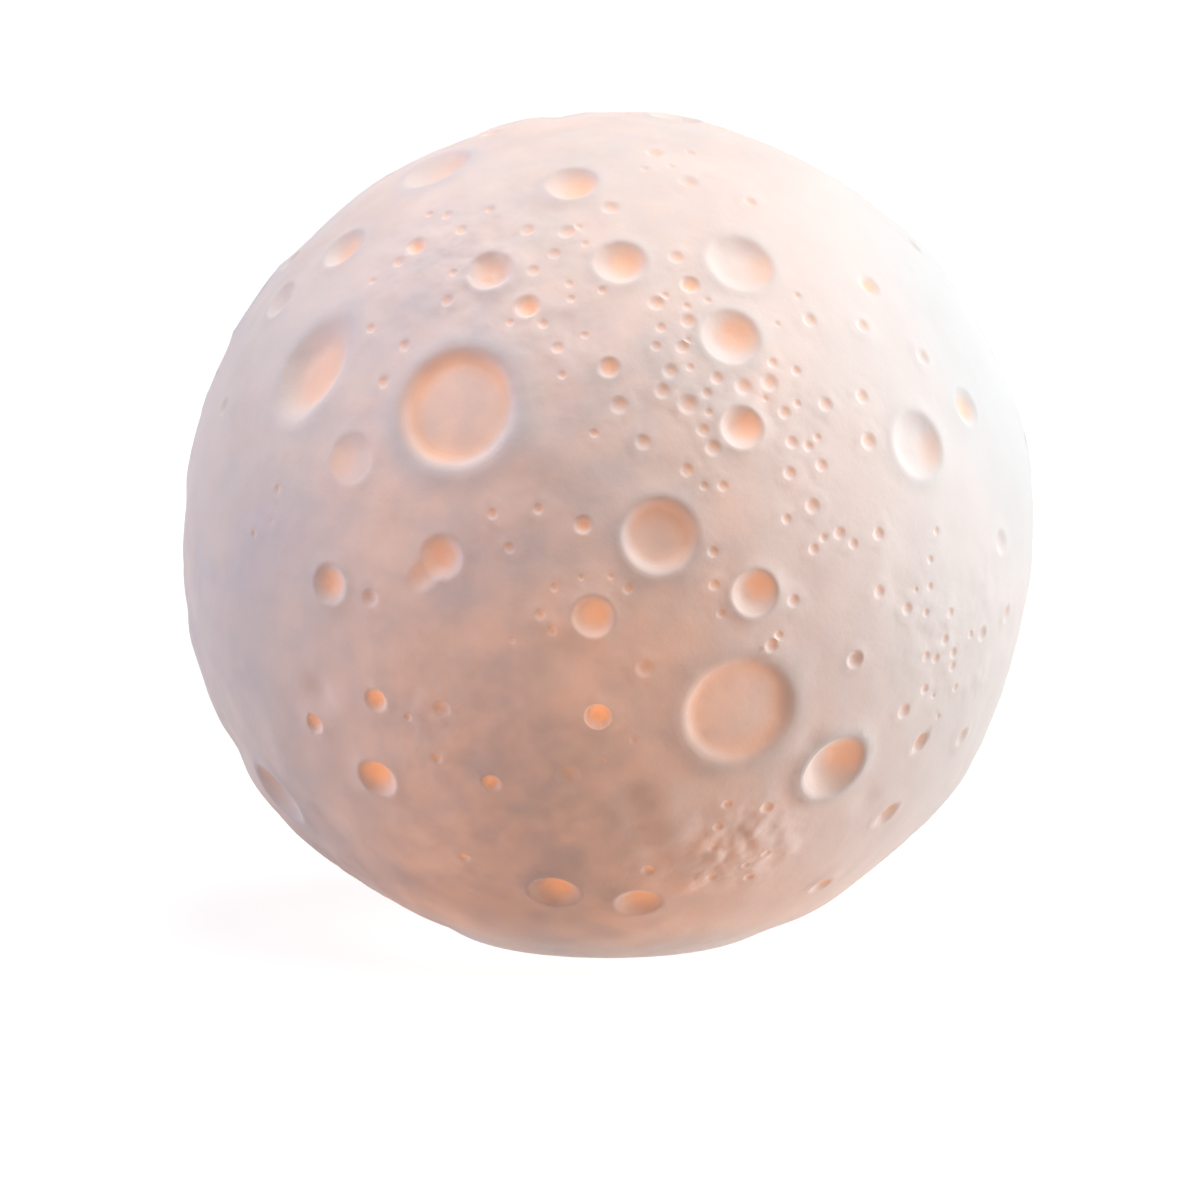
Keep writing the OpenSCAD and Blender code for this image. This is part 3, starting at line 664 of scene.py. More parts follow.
# Where light comes through, in crater radii. A crater whose flat share passes wideFlat glows on its wall
glowShape = {
    "wideFlat": (0.48, 0.6),
    "floorLoss": 0.68,
    "floorMiddle": 0.25,
    "wallShare": 0.25,
    "ringShare": 0.75,
    "ringPlace": 0.05,
    "ringWidth": 0.12,
    "fadeFrom": 0.3,
    "fadeFromWide": 0.95,
    "fadeToWide": 0.4,
    "edge": (0.92, 1.1),
    "edgeWide": 0.25,
}

# The thicker ring beside a raised rim, which also carries a painted shade, for craters from the first radius
# to the second and in metres
thickAndShadeRing = {"place": 1.2, "width": 0.27, "radii": (0.0018, 0.006), "fullRim": 0.00055}


def named(tree, name, kind="FLOAT"):
    return output(tree, "GeometryNodeInputNamedAttribute", "Attribute", {"Name": name}, data_type=kind)


def store(geometry, name, value, selection=True):
    sockets = {"Geometry": geometry, "Name": name, "Value": value, "Selection": selection}
    settings = {"data_type": "FLOAT", "domain": "POINT"}
    return output(treeOf(geometry), "GeometryNodeStoreNamedAttribute", "Geometry", sockets, **settings)


# Joins a value to what the attribute holds already
def join(geometry, name, operation, value, near):
    return store(geometry, name, calc(operation, named(treeOf(value), name), value), near)


# Shapes the geometry once for each row of a table
def forRows(tree, rows, geometry, shape):
    table = output(tree, "GeometryNodeObjectInfo", "Geometry", {"Object": rows})
    count = output(tree, "GeometryNodeAttributeDomainSize", "Point Count", {"Geometry": table})
    start = tree.nodes.new("GeometryNodeRepeatInput")
    end = tree.nodes.new("GeometryNodeRepeatOutput")
    start.pair_with_output(end)
    plug(count, start.inputs["Iterations"])
    plug(geometry, start.inputs["Geometry"])

    def row(name, kind="FLOAT"):
        index = Signal(start.outputs["Iteration"])
        sockets = {"Geometry": table, "Value": named(tree, name, kind), "Index": index}
        return output(tree, "GeometryNodeSampleIndex", "Value", sockets, data_type=kind, domain="POINT")

    plug(shape(Signal(start.outputs["Geometry"]), row), end.inputs["Geometry"])
    return Signal(end.outputs["Geometry"])


# Distance from a place, where the long axis of an ellipse counts for less
def farOff(direction, place, axis, stretch):
    offset = vectorCalc("SUBTRACT", direction, place)
    along = vectorCalc("DOT_PRODUCT", offset, axis)
    square = along * along
    whole = vectorCalc("DOT_PRODUCT", offset, offset)
    return calc("SQRT", whole - square + square / (stretch * stretch))


# The light comes through the floor and the lower wall, and in a wide flat crater mostly through the wall
def craterGlow(glow, flat, share, glowShare, glowEnd):
    wide = remap(flat, *glowShape["wideFlat"], 0.0, glowShape["floorLoss"])
    ring = bell((share - flat - glowShape["ringPlace"]) / glowShape["ringWidth"])
    wall = remap(share, glowShape["floorMiddle"], flat) * glowShape["wallShare"]
    onWall = wall + ring * glowShape["ringShare"]
    level = 1.0 - wide * (1.0 - onWall)
    fadeFrom = glowShape["fadeFrom"] + wide * glowShape["fadeFromWide"]
    fade = remap(glowShare, fadeFrom, glowEnd + wide * glowShape["fadeToWide"], 1.0, 0.0)
    edgeFrom, edgeTo = glowShape["edge"]
    fade = fade * remap(share, edgeFrom, edgeTo + wide * glowShape["edgeWide"], 1.0, 0.0)
    return glow * level * fade


def craterTree():
    tree = bpy.data.node_groups.new("moonCraters", "GeometryNodeTree")
    face = tree.interface
    face.new_socket(name="Geometry", in_out="OUTPUT", socket_type="NodeSocketGeometry")
    face.new_socket(name="Geometry", in_out="INPUT", socket_type="NodeSocketGeometry")
    for name in ("Craters", "Swells"):
        face.new_socket(name=name, in_out="INPUT", socket_type="NodeSocketObject")
    for name, value in craterInputs.items():
        kind = "NodeSocketInt" if isinstance(value, int) else "NodeSocketFloat"
        face.new_socket(name=name, in_out="INPUT", socket_type=kind).default_value = value
    face.new_socket(name="Material", in_out="INPUT", socket_type="NodeSocketMaterial")
    given = {socket.name: Signal(socket) for socket in tree.nodes.new("NodeGroupInput").outputs}
    centred = vectorCalc("SUBTRACT", output(tree, "GeometryNodeInputPosition", 0), tuple(globeCentre))
    direction = vectorCalc("NORMALIZE", centred)

    # Swells: soft bells added one after another
    def swellShape(geometry, row):
        offset = vectorCalc("SUBTRACT", direction, row("position", "FLOAT_VECTOR"))
        share = vectorCalc("LENGTH", offset) * given["Globe Radius"] / (row("radius") * mm)
        near, fall = calc("LESS_THAN", share, shapeSizes["swellReach"]), bell(share, shapeSizes["swellFall"])
        geometry = join(geometry, "height", "ADD", row("height") * mm * fall, near)
        return join(geometry, "rough", "MAXIMUM", row("rough") * mm * fall, near)

    # Craters: floor, wall and rim, each by the distance from the middle
    def craterShape(geometry, row):
        axis, stretch, size = row("axis", "FLOAT_VECTOR"), row("stretch"), row("radius") * mm
        share, glowShare = (
            farOff(direction, row(place, "FLOAT_VECTOR"), axis, stretch) * given["Globe Radius"] / size
            for place in ("position", "glowAt")
        )
        near = calc("LESS_THAN", share, shapeSizes["craterReach"])
        flat = row("flat")
        floor = (remap(share, flat, given["Wall End"]) - 1.0) * (row("depth") * mm * given["Depth"])
        # The rim is steeper inside than outside
        past = share - given["Rim Place"]
        outward = calc("GREATER_THAN", past, 0.0)
        inner = given["Rim Width"] * shapeSizes["innerRim"]
        width = remap(outward, 0.0, 1.0, inner, given["Rim Width"], smooth=False)
        lift = row("rim") * mm * given["Rim"]
        geometry = join(geometry, "height", "ADD", floor + bell(past / width) * lift, near)
        glow = craterGlow(row("glow"), flat, share, glowShare, given["Glow End"])
        geometry = join(geometry, "glow", "MAXIMUM", glow, near)
        # A raised rim is thicker, so that less light comes through it and just outside it; the same ring
        # carries a painted shade there
        beside = bell((share - thickAndShadeRing["place"]) / thickAndShadeRing["width"])
        whole = beside * remap(size, *thickAndShadeRing["radii"])
        thick = calc("MULTIPLY", whole, lift / thickAndShadeRing["fullRim"], clamp=True)
        return join(geometry, "thick", "MAXIMUM", thick, near)

    def waves(scale, height, detail=2.0, roughness=0.5):
        sockets = {"Vector": centred, "W": given["Seed"] * 1.0, "Scale": scale}
        sockets |= {"Detail": detail, "Roughness": roughness}
        return (output(tree, "ShaderNodeTexNoise", 0, sockets, noise_dimensions="4D") - 0.5) * height

    geometry = given["Geometry"]
    for name in ("height", "glow", "rough", "thick"):
        geometry = store(geometry, name, 0.0)
    geometry = forRows(tree, given["Swells"], geometry, swellShape)
    geometry = forRows(tree, given["Craters"], geometry, craterShape)
    # Slow undulation all over, and a rougher ground where the map asks for it
    gain = shapeSizes["waveGain"]
    slow = waves(1.0 / given["Undulation Size"], given["Undulation"] * gain)
    ground = (named(tree, "rough") + given["Grain"]) * shapeSizes["groundGain"]
    quick = waves(given["Grain Scale"], ground, 3.0, 0.55)
    middle = waves(1.0 / given["Ripple Size"], given["Ripple"] * gain)
    total = named(tree, "height") + (slow + quick) + middle - given["Sink"]
    # Nothing moves at the flat edge round the opening
    mask = remap(split(direction)[2], *shapeSizes["edgeEnd"]) * named(tree, "outer")
    moved = vectorCalc("SCALE", direction, scale=total * mask)
    for kind, sockets in (
        ("SetPosition", {"Offset": moved}),
        ("SetShadeSmooth", {}),
        ("RealizeInstances", {}),
        ("SetMaterial", {"Material": given["Material"]}),
    ):
        geometry = output(tree, "GeometryNode" + kind, 0, {"Geometry": geometry, **sockets})
    plug(geometry, tree.nodes.new("NodeGroupOutput").inputs["Geometry"])
    return tree


def setInputs(modifier, values):
    for item in modifier.node_group.interface.items_tree:
        if item.item_type == "SOCKET" and item.in_out == "INPUT" and item.name in values:
            modifier[item.identifier] = values[item.name]


# Helpers for materials

def newMaterial(name):
    made = bpy.data.materials.new(name)
    made.use_nodes = True
    return made, output(made.node_tree, "ShaderNodeTexCoord", "Object")


def shade(made, sockets):
    shader = made.node_tree.nodes["Principled BSDF"]
    for key, value in sockets.items():
        plug(value, shader.inputs[key])
    return made


def mixColour(factor, a, b):
    sockets = {0: factor, 6: a, 7: b}
    return output(treeOf(factor), "ShaderNodeMix", 2, sockets, data_type="RGBA")


def noise(place, scale, detail=3.0, roughness=0.6, distortion=0.0):
    sockets = {"Vector": place, "Scale": scale, "Detail": detail, "Roughness": roughness}
    return output(treeOf(place), "ShaderNodeTexNoise", 0, sockets | {"Distortion": distortion})


# Noise keeps to the middle of its range, and this takes that part from one value to another
def midRange(cloud, low=0.0, high=1.0):
    return remap(cloud, 0.3, 0.7, low, high)


def voronoi(place, scale, **sockets):
    made = addNode(treeOf(place), "ShaderNodeTexVoronoi", {"Vector": place, "Scale": scale, **sockets})
    return Signal(made.outputs["Distance"]), Signal(made.outputs["Color"])


def bump(height, distance, below=None):
    sockets = {"Height": height, "Distance": distance, "Strength": 1.0}
    if below is not None:
        sockets["Normal"] = below
    return output(treeOf(height), "ShaderNodeBump", 0, sockets)


def attribute(tree, name, kind="Fac"):
    return output(tree, "ShaderNodeAttribute", kind, attribute_name=name)


def squeezed(place, share):
    return vectorCalc("MULTIPLY", place, (1.0, 1.0, share))


def axisDistance(place):
    return vectorCalc("LENGTH", squeezed(place, 0.0))


def normalUp(tree):
    return split(output(tree, "ShaderNodeNewGeometry", "Normal"))[2]


# Globe finish: the noises have a scale, a detail and a roughness

globeNoise = {
    "cloud": (42.0, 5.0, 0.6),
    "patches": (26.0, 4.0, 0.55),
    "fine": (620.0, 4.0, 0.65),
    "grain": (3600.0, 2.0, 0.6),
    "blotches": (135.0, 4.0, 0.6),
    "lumps": (290.0, 0.6, 0.5),
}

globeFinish = {
    "body": (0.865, 0.865, 0.86, 1),
    "mottle": (0.80, 0.79, 0.78, 1),
    "shadow": (0.855, 0.825, 0.865, 1),
    # The low colour is a painted shade towards the bottom
    "low": (0.80, 0.78, 0.76, 1),
    # The rim colour is a painted lavender shade in the ring beside raised rims
    "rim": (0.89, 0.87, 0.91, 1),
    # The crater colour is the inner glow painted into the base colour
    "crater": (0.87, 0.60, 0.43, 1),
    "speck": (0.25, 0.17, 0.14, 1),
    "lowShadeTint": 0.55,
    "rimShadeTint": 0.8,
    "craterGlowTint": 0.6,
    "speckTint": 0.7,
    "warmTint": 0.8,
    "speckScale": 95.0,
    "speckAmong": 0.05,
    "glowColour": (1.0, 0.37, 0.14, 1),
    "craterGlowColour": (1.0, 0.35, 0.13, 1),
    "craterGlow": 0.2,
    "wallGlow": 0.33,
    "patchGlow": 0.065,
    "blotchGlow": 0.06,
    "lowGlow": -0.015,
    "sideShare": 0.42,
    "topShare": 0.8,
    "footShare": 0.45,
    "rightShare": 0.3,
    "rimShade": 0.36,
    "litToward": (0.906, 0.0, 0.423),
    "litShare": 0.35,
    "rough": (0.56, 0.68),
    "specular": 0.35,
    "fullRough": 0.0005,
    "lumpDepth": 0.0011,
    "fineDepth": 0.00006,
    "grainDepth": 0.000012,
}

# Where each of these sets in and is complete: noise levels, heights in metres, shares of the way to a side
globeRanges = {
    "mottle": (0.42, 0.66),
    "shadow": (0.36, 0.6),
    "patch": (0.35, 0.65),
    "speck": (0.015, 0.045),
    "low": (0.105, 0.005),
    "foot": (0.001, 0.010),
    "top": (0.085, 0.14),
    "even": (0.05, 0.6),
    "left": (-0.7, 0.3),
    "side": (0.3, 0.95),
    "lit": (0.8, 0.97),
}


def globeMaterial():
    made, place = newMaterial("moonPrint")
    glow, thick, rough = (attribute(made.node_tree, name) for name in ("glow", "thick", "rough"))
    waves = {name: noise(place, *values) for name, values in globeNoise.items()}
    toward = vectorCalc("NORMALIZE", vectorCalc("SUBTRACT", place, tuple(globeCentre)))
    across, high = split(toward)[0], split(place)[2]

    def ranged(value, name, *levels):
        return remap(value, *globeRanges[name], *levels)

    # Painted shade: colour and glow grow darker towards the bottom of the globe
    low = ranged(high, "low")
    # The right side is more even in tone
    evenness = ranged(across, "even", 1.0, globeFinish["rightShare"])
    leftward = ranged(across, "left", 1.0, 0.0)
    distance, cell = voronoi(place, globeFinish["speckScale"])
    isSpeck = calc("LESS_THAN", split(cell)[0], globeFinish["speckAmong"])
    speck = ranged(distance, "speck", 1.0, 0.0) * isSpeck * globeFinish["speckTint"]
    colour = globeFinish["body"]
    for name, factor in (
        ("mottle", ranged(waves["cloud"], "mottle") * evenness),
        ("shadow", ranged(waves["patches"], "shadow", 1.0, 0.0) * leftward),
        ("low", low * globeFinish["lowShadeTint"]),
        # Painted lavender shade in the ring beside raised rims, on the left side only
        ("rim", thick * leftward * globeFinish["rimShadeTint"]),
        # Painted glow: the base colour turns orange where the crater glows
        ("crater", calc("MULTIPLY", glow, globeFinish["craterGlowTint"], clamp=True)),
        ("speck", speck),
    ):
        colour = mixColour(factor, colour, globeFinish[name])

    # Painted shade in the glow: it is dimmer at the sides than in front, at the top and at the foot, and
    # less comes through the thicker rims and their painted shade ring
    level = ranged(calc("ABSOLUTE", across), "side", 1.0, globeFinish["sideShare"])
    level = level * ranged(high, "top", 1.0, globeFinish["topShare"])
    level = level * ranged(high, "foot", globeFinish["footShare"], 1.0)
    # Painted light: where the key lamp is strongest the glow is made weaker, so it hardly adds to the lamp's
    # light
    litWay = vectorCalc("DOT_PRODUCT", toward, globeFinish["litToward"])
    level = level * ranged(litWay, "lit", 1.0, globeFinish["litShare"])
    level = level * remap(thick, 0.0, 1.0, 1.0, 1.0 - globeFinish["rimShade"], smooth=False)
    patch = ranged(waves["patches"], "patch", -globeFinish["patchGlow"], globeFinish["patchGlow"])
    blotch = midRange(waves["blotches"], -globeFinish["blotchGlow"], globeFinish["blotchGlow"])
    ground = (patch + blotch) * evenness + globeFinish["wallGlow"]
    strength = ground * level + glow * globeFinish["craterGlow"] + low * globeFinish["lowGlow"]
    inCrater = calc("MULTIPLY", glow, globeFinish["warmTint"], clamp=True)
    lumps = waves["lumps"] * (rough / globeFinish["fullRough"])
    normal = bump(waves["fine"], globeFinish["fineDepth"], bump(lumps, globeFinish["lumpDepth"]))
    return shade(made, {
        "Base Color": colour,
        "Roughness": midRange(waves["fine"], *globeFinish["rough"]),
        "Emission Color": mixColour(inCrater, globeFinish["glowColour"], globeFinish["craterGlowColour"]),
        "Emission Strength": strength * (1.0 - speck),
        "Normal": bump(waves["grain"], globeFinish["grainDepth"], normal),
        "Specular IOR Level": globeFinish["specular"],
    })


def makeGlobe():
    source = addObject("moonSkinBase", buildSkinMesh())
    numbers = ("radius", "depth", "flat", "glow", "rim", "stretch")
    craterTable = tableObject("craterTable", craters + pits, numbers, ("axis", "glowAt"))
    swellTable = tableObject("swellTable", swells, ("radius", "height", "rough"))
    modifier = source.modifiers.new("moonCraters", "NODES")
    modifier.node_group = craterTree()
    setInputs(modifier, {"Craters": craterTable, "Swells": swellTable, "Material": globeMaterial()})
    mesh = finishedMesh(source, "moonSkin")
    for old in (source, craterTable, swellTable):
        bpy.data.objects.remove(old)
    mesh.set_sharp_from_angle(angle=math.radians(50))
    globe = addObject("moonSkin", mesh)
    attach(globe, "lamp")
    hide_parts("moon_shell")
    mesh.calc_loop_triangles()
    print("moonSkin triangles", len(mesh.loop_triangles))


makeGlobe()


# Finishes of the pieces under and inside the globe

def linkedVerts(start, left):
    group = [start]
    for vert in group:
        for edge in vert.link_edges:
            other = edge.other_vert(vert)
            if other in left:
                left.remove(other)
                group.append(other)
    return group


# Place along each side of its own small part, from 0 to 1, kept with every point
def markOwnPlace(mesh):
    work = bmesh.new()
    work.from_mesh(mesh)
    places = np.zeros((len(work.verts), 3), np.float32)
    left = set(work.verts)
    while left:
        group = linkedVerts(left.pop(), left)
        points = np.array([v.co for v in group])
        middle = (points.max(0) + points.min(0)) / 2
        # Parts on a ring stand turned to its middle
        angle = math.atan2(middle[1], middle[0]) if math.hypot(middle[0], middle[1]) > mm else 0.0
        away = np.array((math.cos(angle), math.sin(angle), 0))
        along = np.array((-math.sin(angle), math.cos(angle), 0))
        turned = np.stack((points @ away, points @ along, points[:, 2]), 1)
        low, high = turned.min(0), turned.max(0)
        places[[v.index for v in group]] = (turned - low) / np.maximum(high - low, 1e-7)
    work.free()
    setAttribute(mesh, "ownPlace", places)


# Colour drifts a little, and the mould's texture sits on top; depth in millimetres
plasticValues = {
    "mouldedWhite": {
        "colour": (0.80, 0.79, 0.77, 1), "drift": (0.74, 0.73, 0.70, 1),
        "rough": 0.42, "grain": 2600, "depth": 0.004,
    },
    "sparkedBase": {
        "colour": (0.72, 0.71, 0.70, 1), "drift": (0.66, 0.65, 0.63, 1),
        "rough": 0.56, "grain": 1700, "depth": 0.016,
    },
    "satinButton": {
        "colour": (0.84, 0.84, 0.83, 1), "drift": (0.79, 0.79, 0.77, 1),
        "rough": 0.30, "grain": 3200, "depth": 0.002,
    },
    "mouldedBlack": {
        "colour": (0.022, 0.022, 0.025, 1), "drift": (0.038, 0.037, 0.038, 1),
        "rough": 0.46, "grain": 3000, "depth": 0.006,
    },
    "plugNylon": {
        "colour": (0.78, 0.75, 0.66, 1), "drift": (0.70, 0.66, 0.56, 1),
        "rough": 0.40, "grain": 2200, "depth": 0.004,
    },
    "redInsulation": {
        "colour": (0.42, 0.02, 0.015, 1), "drift": (0.33, 0.014, 0.012, 1),
        "rough": 0.34, "grain": 1500, "depth": 0.004,
    },
    "blackInsulation": {
        "colour": (0.018, 0.018, 0.02, 1), "drift": (0.034, 0.033, 0.034, 1),
        "rough": 0.36, "grain": 1500, "depth": 0.004,
    },
}


def mouldedPlastic(name):
    values = plasticValues[name]
    made, place = newMaterial(name)
    drift, grain = noise(place, 85.0, 4.0), noise(place, values["grain"])
    scuffs = noise(place, 420.0, 5.0, 0.7, 0.6)
    return shade(made, {
        "Base Color": mixColour(remap(drift, 0.36, 0.66), values["colour"], values["drift"]),
        "Roughness": remap(scuffs, 0.35, 0.7, values["rough"] - 0.06, values["rough"] + 0.09),
        "Normal": bump(grain, values["depth"] * mm, bump(scuffs, 0.004 * mm)),
    })


# Heights in metres
footValues = {
    "colour": (0.47, 0.465, 0.46, 1),
    "dusty": (0.60, 0.59, 0.575, 1),
    "worn": (0.36, 0.355, 0.35, 1),
    "standing": (0.00002, 0.00025),
}


# Silicone: matt and a little dusty, polished darker where it stands
def softSilicone():
    made, place = newMaterial("softSilicone")
    dust = noise(place, 330.0, 6.0, 0.72, 0.4)
    standing = remap(split(place)[2], *footValues["standing"], 1.0, 0.0)
    colour = mixColour(remap(dust, 0.5, 0.74), footValues["colour"], footValues["dusty"])
    return shade(made, {
        "Base Color": mixColour(standing * 0.6, colour, footValues["worn"]),
        "Roughness": remap(dust, 0.4, 0.7, 0.62, 0.82) - standing * 0.16,
        "Normal": bump(noise(place, 2400.0), 0.01 * mm),
        "Sheen Weight": 0.15,
    })


# Small pores, as in foam, or pressed grains, as in ferrite; depth in millimetres
poreValues = {
    "closedFoam": {
        "colour": (0.035, 0.035, 0.037, 1), "pore": (0.010, 0.010, 0.011, 1),
        "rough": 0.9, "scale": 1500, "depth": 0.10,
    },
    "sinteredFerrite": {
        "colour": (0.042, 0.042, 0.045, 1), "pore": (0.090, 0.088, 0.085, 1),
        "rough": 0.62, "scale": 4200, "depth": 0.012,
    },
}


def poredSolid(name):
    values = poreValues[name]
    made, place = newMaterial(name)
    cells, drift = voronoi(place, values["scale"])[0], noise(place, 300.0, 4.0)
    pore = remap(cells, 0.15, 0.5, 1.0, 0.0) * midRange(drift, 0.3, 1.0)
    return shade(made, {
        "Base Color": mixColour(pore, values["colour"], values["pore"]),
        "Roughness": midRange(drift, values["rough"] - 0.08, values["rough"] + 0.06),
        "Normal": bump(cells, values["depth"] * mm),
    })


metalValues = {
    "turnedTrim": {
        "colour": (0.66, 0.66, 0.67, 1), "dark": (0.50, 0.50, 0.52, 1),
        "rough": 0.26, "way": "round", "scale": 9000,
    },
    "turnedPlate": {
        "colour": (0.74, 0.75, 0.76, 1), "dark": (0.60, 0.61, 0.63, 1),
        "rough": 0.34, "way": "round", "scale": 5000,
    },
    "drawnSocket": {
        "colour": (0.64, 0.64, 0.64, 1), "dark": (0.50, 0.50, 0.50, 1),
        "rough": 0.24, "way": "up", "scale": 2600,
    },
    "rolledNickel": {
        "colour": (0.68, 0.66, 0.62, 1), "dark": (0.54, 0.52, 0.49, 1),
        "rough": 0.30, "way": "up", "scale": 2200,
    },
}


def fineLines(place, way, scale):
    if way == "up":
        return noise(squeezed(place, 0.02), scale)
    sockets = {"W": axisDistance(place), "Scale": scale, "Detail": 3.0, "Roughness": 0.6}
    return output(treeOf(place), "ShaderNodeTexNoise", 0, sockets, noise_dimensions="1D")


def linedMetal(name):
    values = metalValues[name]
    made, place = newMaterial(name)
    lines = fineLines(place, values["way"], values["scale"])
    stains = noise(place, 260.0, 5.0, 0.65, 0.5)
    tone = remap(lines * 0.6 + stains * 0.4, 0.38, 0.64)
    rough = midRange(lines, values["rough"] - 0.07, values["rough"] + 0.07)
    return shade(made, {
        "Base Color": mixColour(tone, values["dark"], values["colour"]),
        "Metallic": 1.0,
        "Roughness": rough + remap(stains, 0.5, 0.75, 0.0, 0.12),
        "Normal": bump(lines, 0.006 * mm),
    })


# Pitch in metres, depth in millimetres, shank as a share of the head's width
screwValues = {
    "zinc": (0.50, 0.51, 0.54, 1),
    "warm": (0.56, 0.53, 0.47, 1),
    "pitch": 0.0005,
    "threadDepth": 0.09,
    "shank": 0.29,
}


# Zinc plate on the heads, and a rolled thread round the shanks
def platedScrew():
    made, place = newMaterial("platedScrew")
    tree = made.node_tree
    stains = noise(place, 500.0, 5.0, 0.65, 0.4)
    right, ahead = (part - 0.5 for part in split(attribute(tree, "ownPlace", "Vector"))[:2])
    far = calc("SQRT", right * right + ahead * ahead)
    turn = calc("ARCTAN2", ahead, right) / (2 * math.pi)
    thread = calc("PINGPONG", split(place)[2] / screwValues["pitch"] + turn, 0.5)
    onShank = calc("LESS_THAN", far, screwValues["shank"])
    upright = remap(calc("ABSOLUTE", normalUp(tree)), 0.3, 0.5, 1.0, 0.0)
    height = thread * (onShank * upright)
    return shade(made, {
        "Base Color": mixColour(remap(stains, 0.42, 0.66), screwValues["zinc"], screwValues["warm"]),
        "Metallic": 1.0,
        "Roughness": midRange(stains, 0.28, 0.46),
        "Normal": bump(height, screwValues["threadDepth"] * mm, bump(stains, 0.004 * mm)),
    })


boardTin = (0.62, 0.61, 0.58, 1)
boardValues = {
    "greenBoard": {
        "mask": (0.012, 0.105, 0.045, 1), "track": (0.028, 0.19, 0.085, 1),
        "edge": (0.45, 0.40, 0.22, 1), "edgeMetal": 0.0, "scale": 240.0,
    },
    "whiteBoard": {
        "mask": (0.83, 0.83, 0.81, 1), "track": (0.76, 0.76, 0.73, 1),
        "edge": (0.66, 0.67, 0.68, 1), "edgeMetal": 1.0, "scale": 170.0,
    },
}
trackSizes = {"Mortar Size": 0.035, "Mortar Smooth": 0.2, "Brick Width": 0.7, "Row Height": 0.28}


# Solder mask over copper tracks, with tinned spots, and the bare board at its edges
def printedBoard(name):
    values = boardValues[name]
    made, place = newMaterial(name)
    tree, scale = made.node_tree, values["scale"]
    sockets = {"Vector": place, "Scale": scale, **trackSizes}
    grid = output(tree, "ShaderNodeTexBrick", "Fac", sockets, offset=0.35, squash=1.6)
    tracks = grid * remap(noise(place, 150.0, 2.0, 0.5), 0.44, 0.5)
    level = remap(calc("ABSOLUTE", normalUp(tree)), 0.5, 0.8)
    distance, cell = voronoi(place, scale * 2.2, Randomness=0.35)
    spot = remap(distance, 0.14, 0.17, 1.0, 0.0) * calc("LESS_THAN", split(cell)[0], 0.16) * level
    weave = noise(place, 900.0)
    bare = 1.0 - level
    colour = mixColour(spot, mixColour(tracks, values["mask"], values["track"]), boardTin)
    return shade(made, {
        "Base Color": mixColour(level, values["edge"], colour),
        "Metallic": calc("MAXIMUM", spot, bare * values["edgeMetal"]),
        "Roughness": midRange(weave, 0.24, 0.34) + bare * 0.3,
        "Normal": bump(spot, 0.05 * mm, bump(tracks, 0.03 * mm, bump(weave, 0.006 * mm))),
    })


# The parts' middles along X and the start of their tinned ends, in metres
capacitorValues = {
    "body": (0.36, 0.24, 0.12, 1),
    "pale": (0.45, 0.32, 0.18, 1),
    "cap": (0.66, 0.65, 0.63, 1),
    "middles": (-0.008, 0.0025, 0.007),
    "capFrom": (0.00100, 0.00108),
}


# Fired tan body with tinned ends
def firedCapacitor():
    made, place = newMaterial("firedCapacitor")
    speckle = noise(place, 3500.0)
    first, *others = [calc("ABSOLUTE", split(place)[0] - middle) for middle in capacitorValues["middles"]]
    for other in others:
        first = calc("MINIMUM", first, other)
    end = remap(first, *capacitorValues["capFrom"])
    body = mixColour(speckle, capacitorValues["body"], capacitorValues["pale"])
    return shade(made, {
        "Base Color": mixColour(end, body, capacitorValues["cap"]),
        "Metallic": end,
        "Roughness": midRange(speckle, 0.30, 0.44),
        "Normal": bump(end + speckle * 0.3, 0.02 * mm),
    })


# The chip's middle along Y and the start of its legs, in metres
chipValues = {
    "body": (0.02, 0.02, 0.022, 1),
    "leg": (0.62, 0.61, 0.59, 1),
    "middle": 0.009,
    "legFrom": (0.00202, 0.00206),
}


# Black chip body with tinned legs on two sides
def chipBody():
    made, place = newMaterial("chipBody")
    grain = noise(place, 3600.0)
    leg = remap(calc("ABSOLUTE", split(place)[1] - chipValues["middle"]), *chipValues["legFrom"])
    return shade(made, {
        "Base Color": mixColour(leg, chipValues["body"], chipValues["leg"]),
        "Metallic": leg,
        "Roughness": midRange(grain, 0.34, 0.50),
        "Normal": bump(grain, 0.008 * mm),
    })


ledValues = {
    "frame": (0.84, 0.84, 0.81, 1),
    "phosphor": (0.86, 0.62, 0.16, 1),
    "pale": (0.90, 0.70, 0.26, 1),
    "light": (1.0, 0.72, 0.42, 1),
    "strength": 1.1,
    "window": (0.36, 0.39),
}


# A round window of phosphor in a white frame
def phosphorChip():
    made, place = newMaterial("phosphorChip")
    own = vectorCalc("SUBTRACT", attribute(made.node_tree, "ownPlace", "Vector"), (0.5, 0.5, 0.0))
    window = remap(axisDistance(own), *ledValues["window"], 1.0, 0.0)
    window = window * remap(normalUp(made.node_tree), 0.6, 0.9)
    grain = noise(place, 5200.0)
    phosphor = mixColour(midRange(grain), ledValues["phosphor"], ledValues["pale"])
    return shade(made, {
        "Base Color": mixColour(window, ledValues["frame"], phosphor),
        "Roughness": midRange(grain, 0.32, 0.5),
        "Emission Color": ledValues["light"],
        "Emission Strength": window * ledValues["strength"],
        "Normal": bump(grain * 0.2 - window, 0.03 * mm),
    })


# Radii and the height above which the washer lies, in metres
cellValues = {
    "film": (0.035, 0.14, 0.36, 1),
    "filmLight": (0.05, 0.18, 0.42, 1),
    "can": (0.62, 0.61, 0.59, 1),
    "washer": (0.74, 0.74, 0.71, 1),
    "endRadius": 0.0084,
    "washerRadius": 0.0055,
    "washerFrom": 0.045,
}


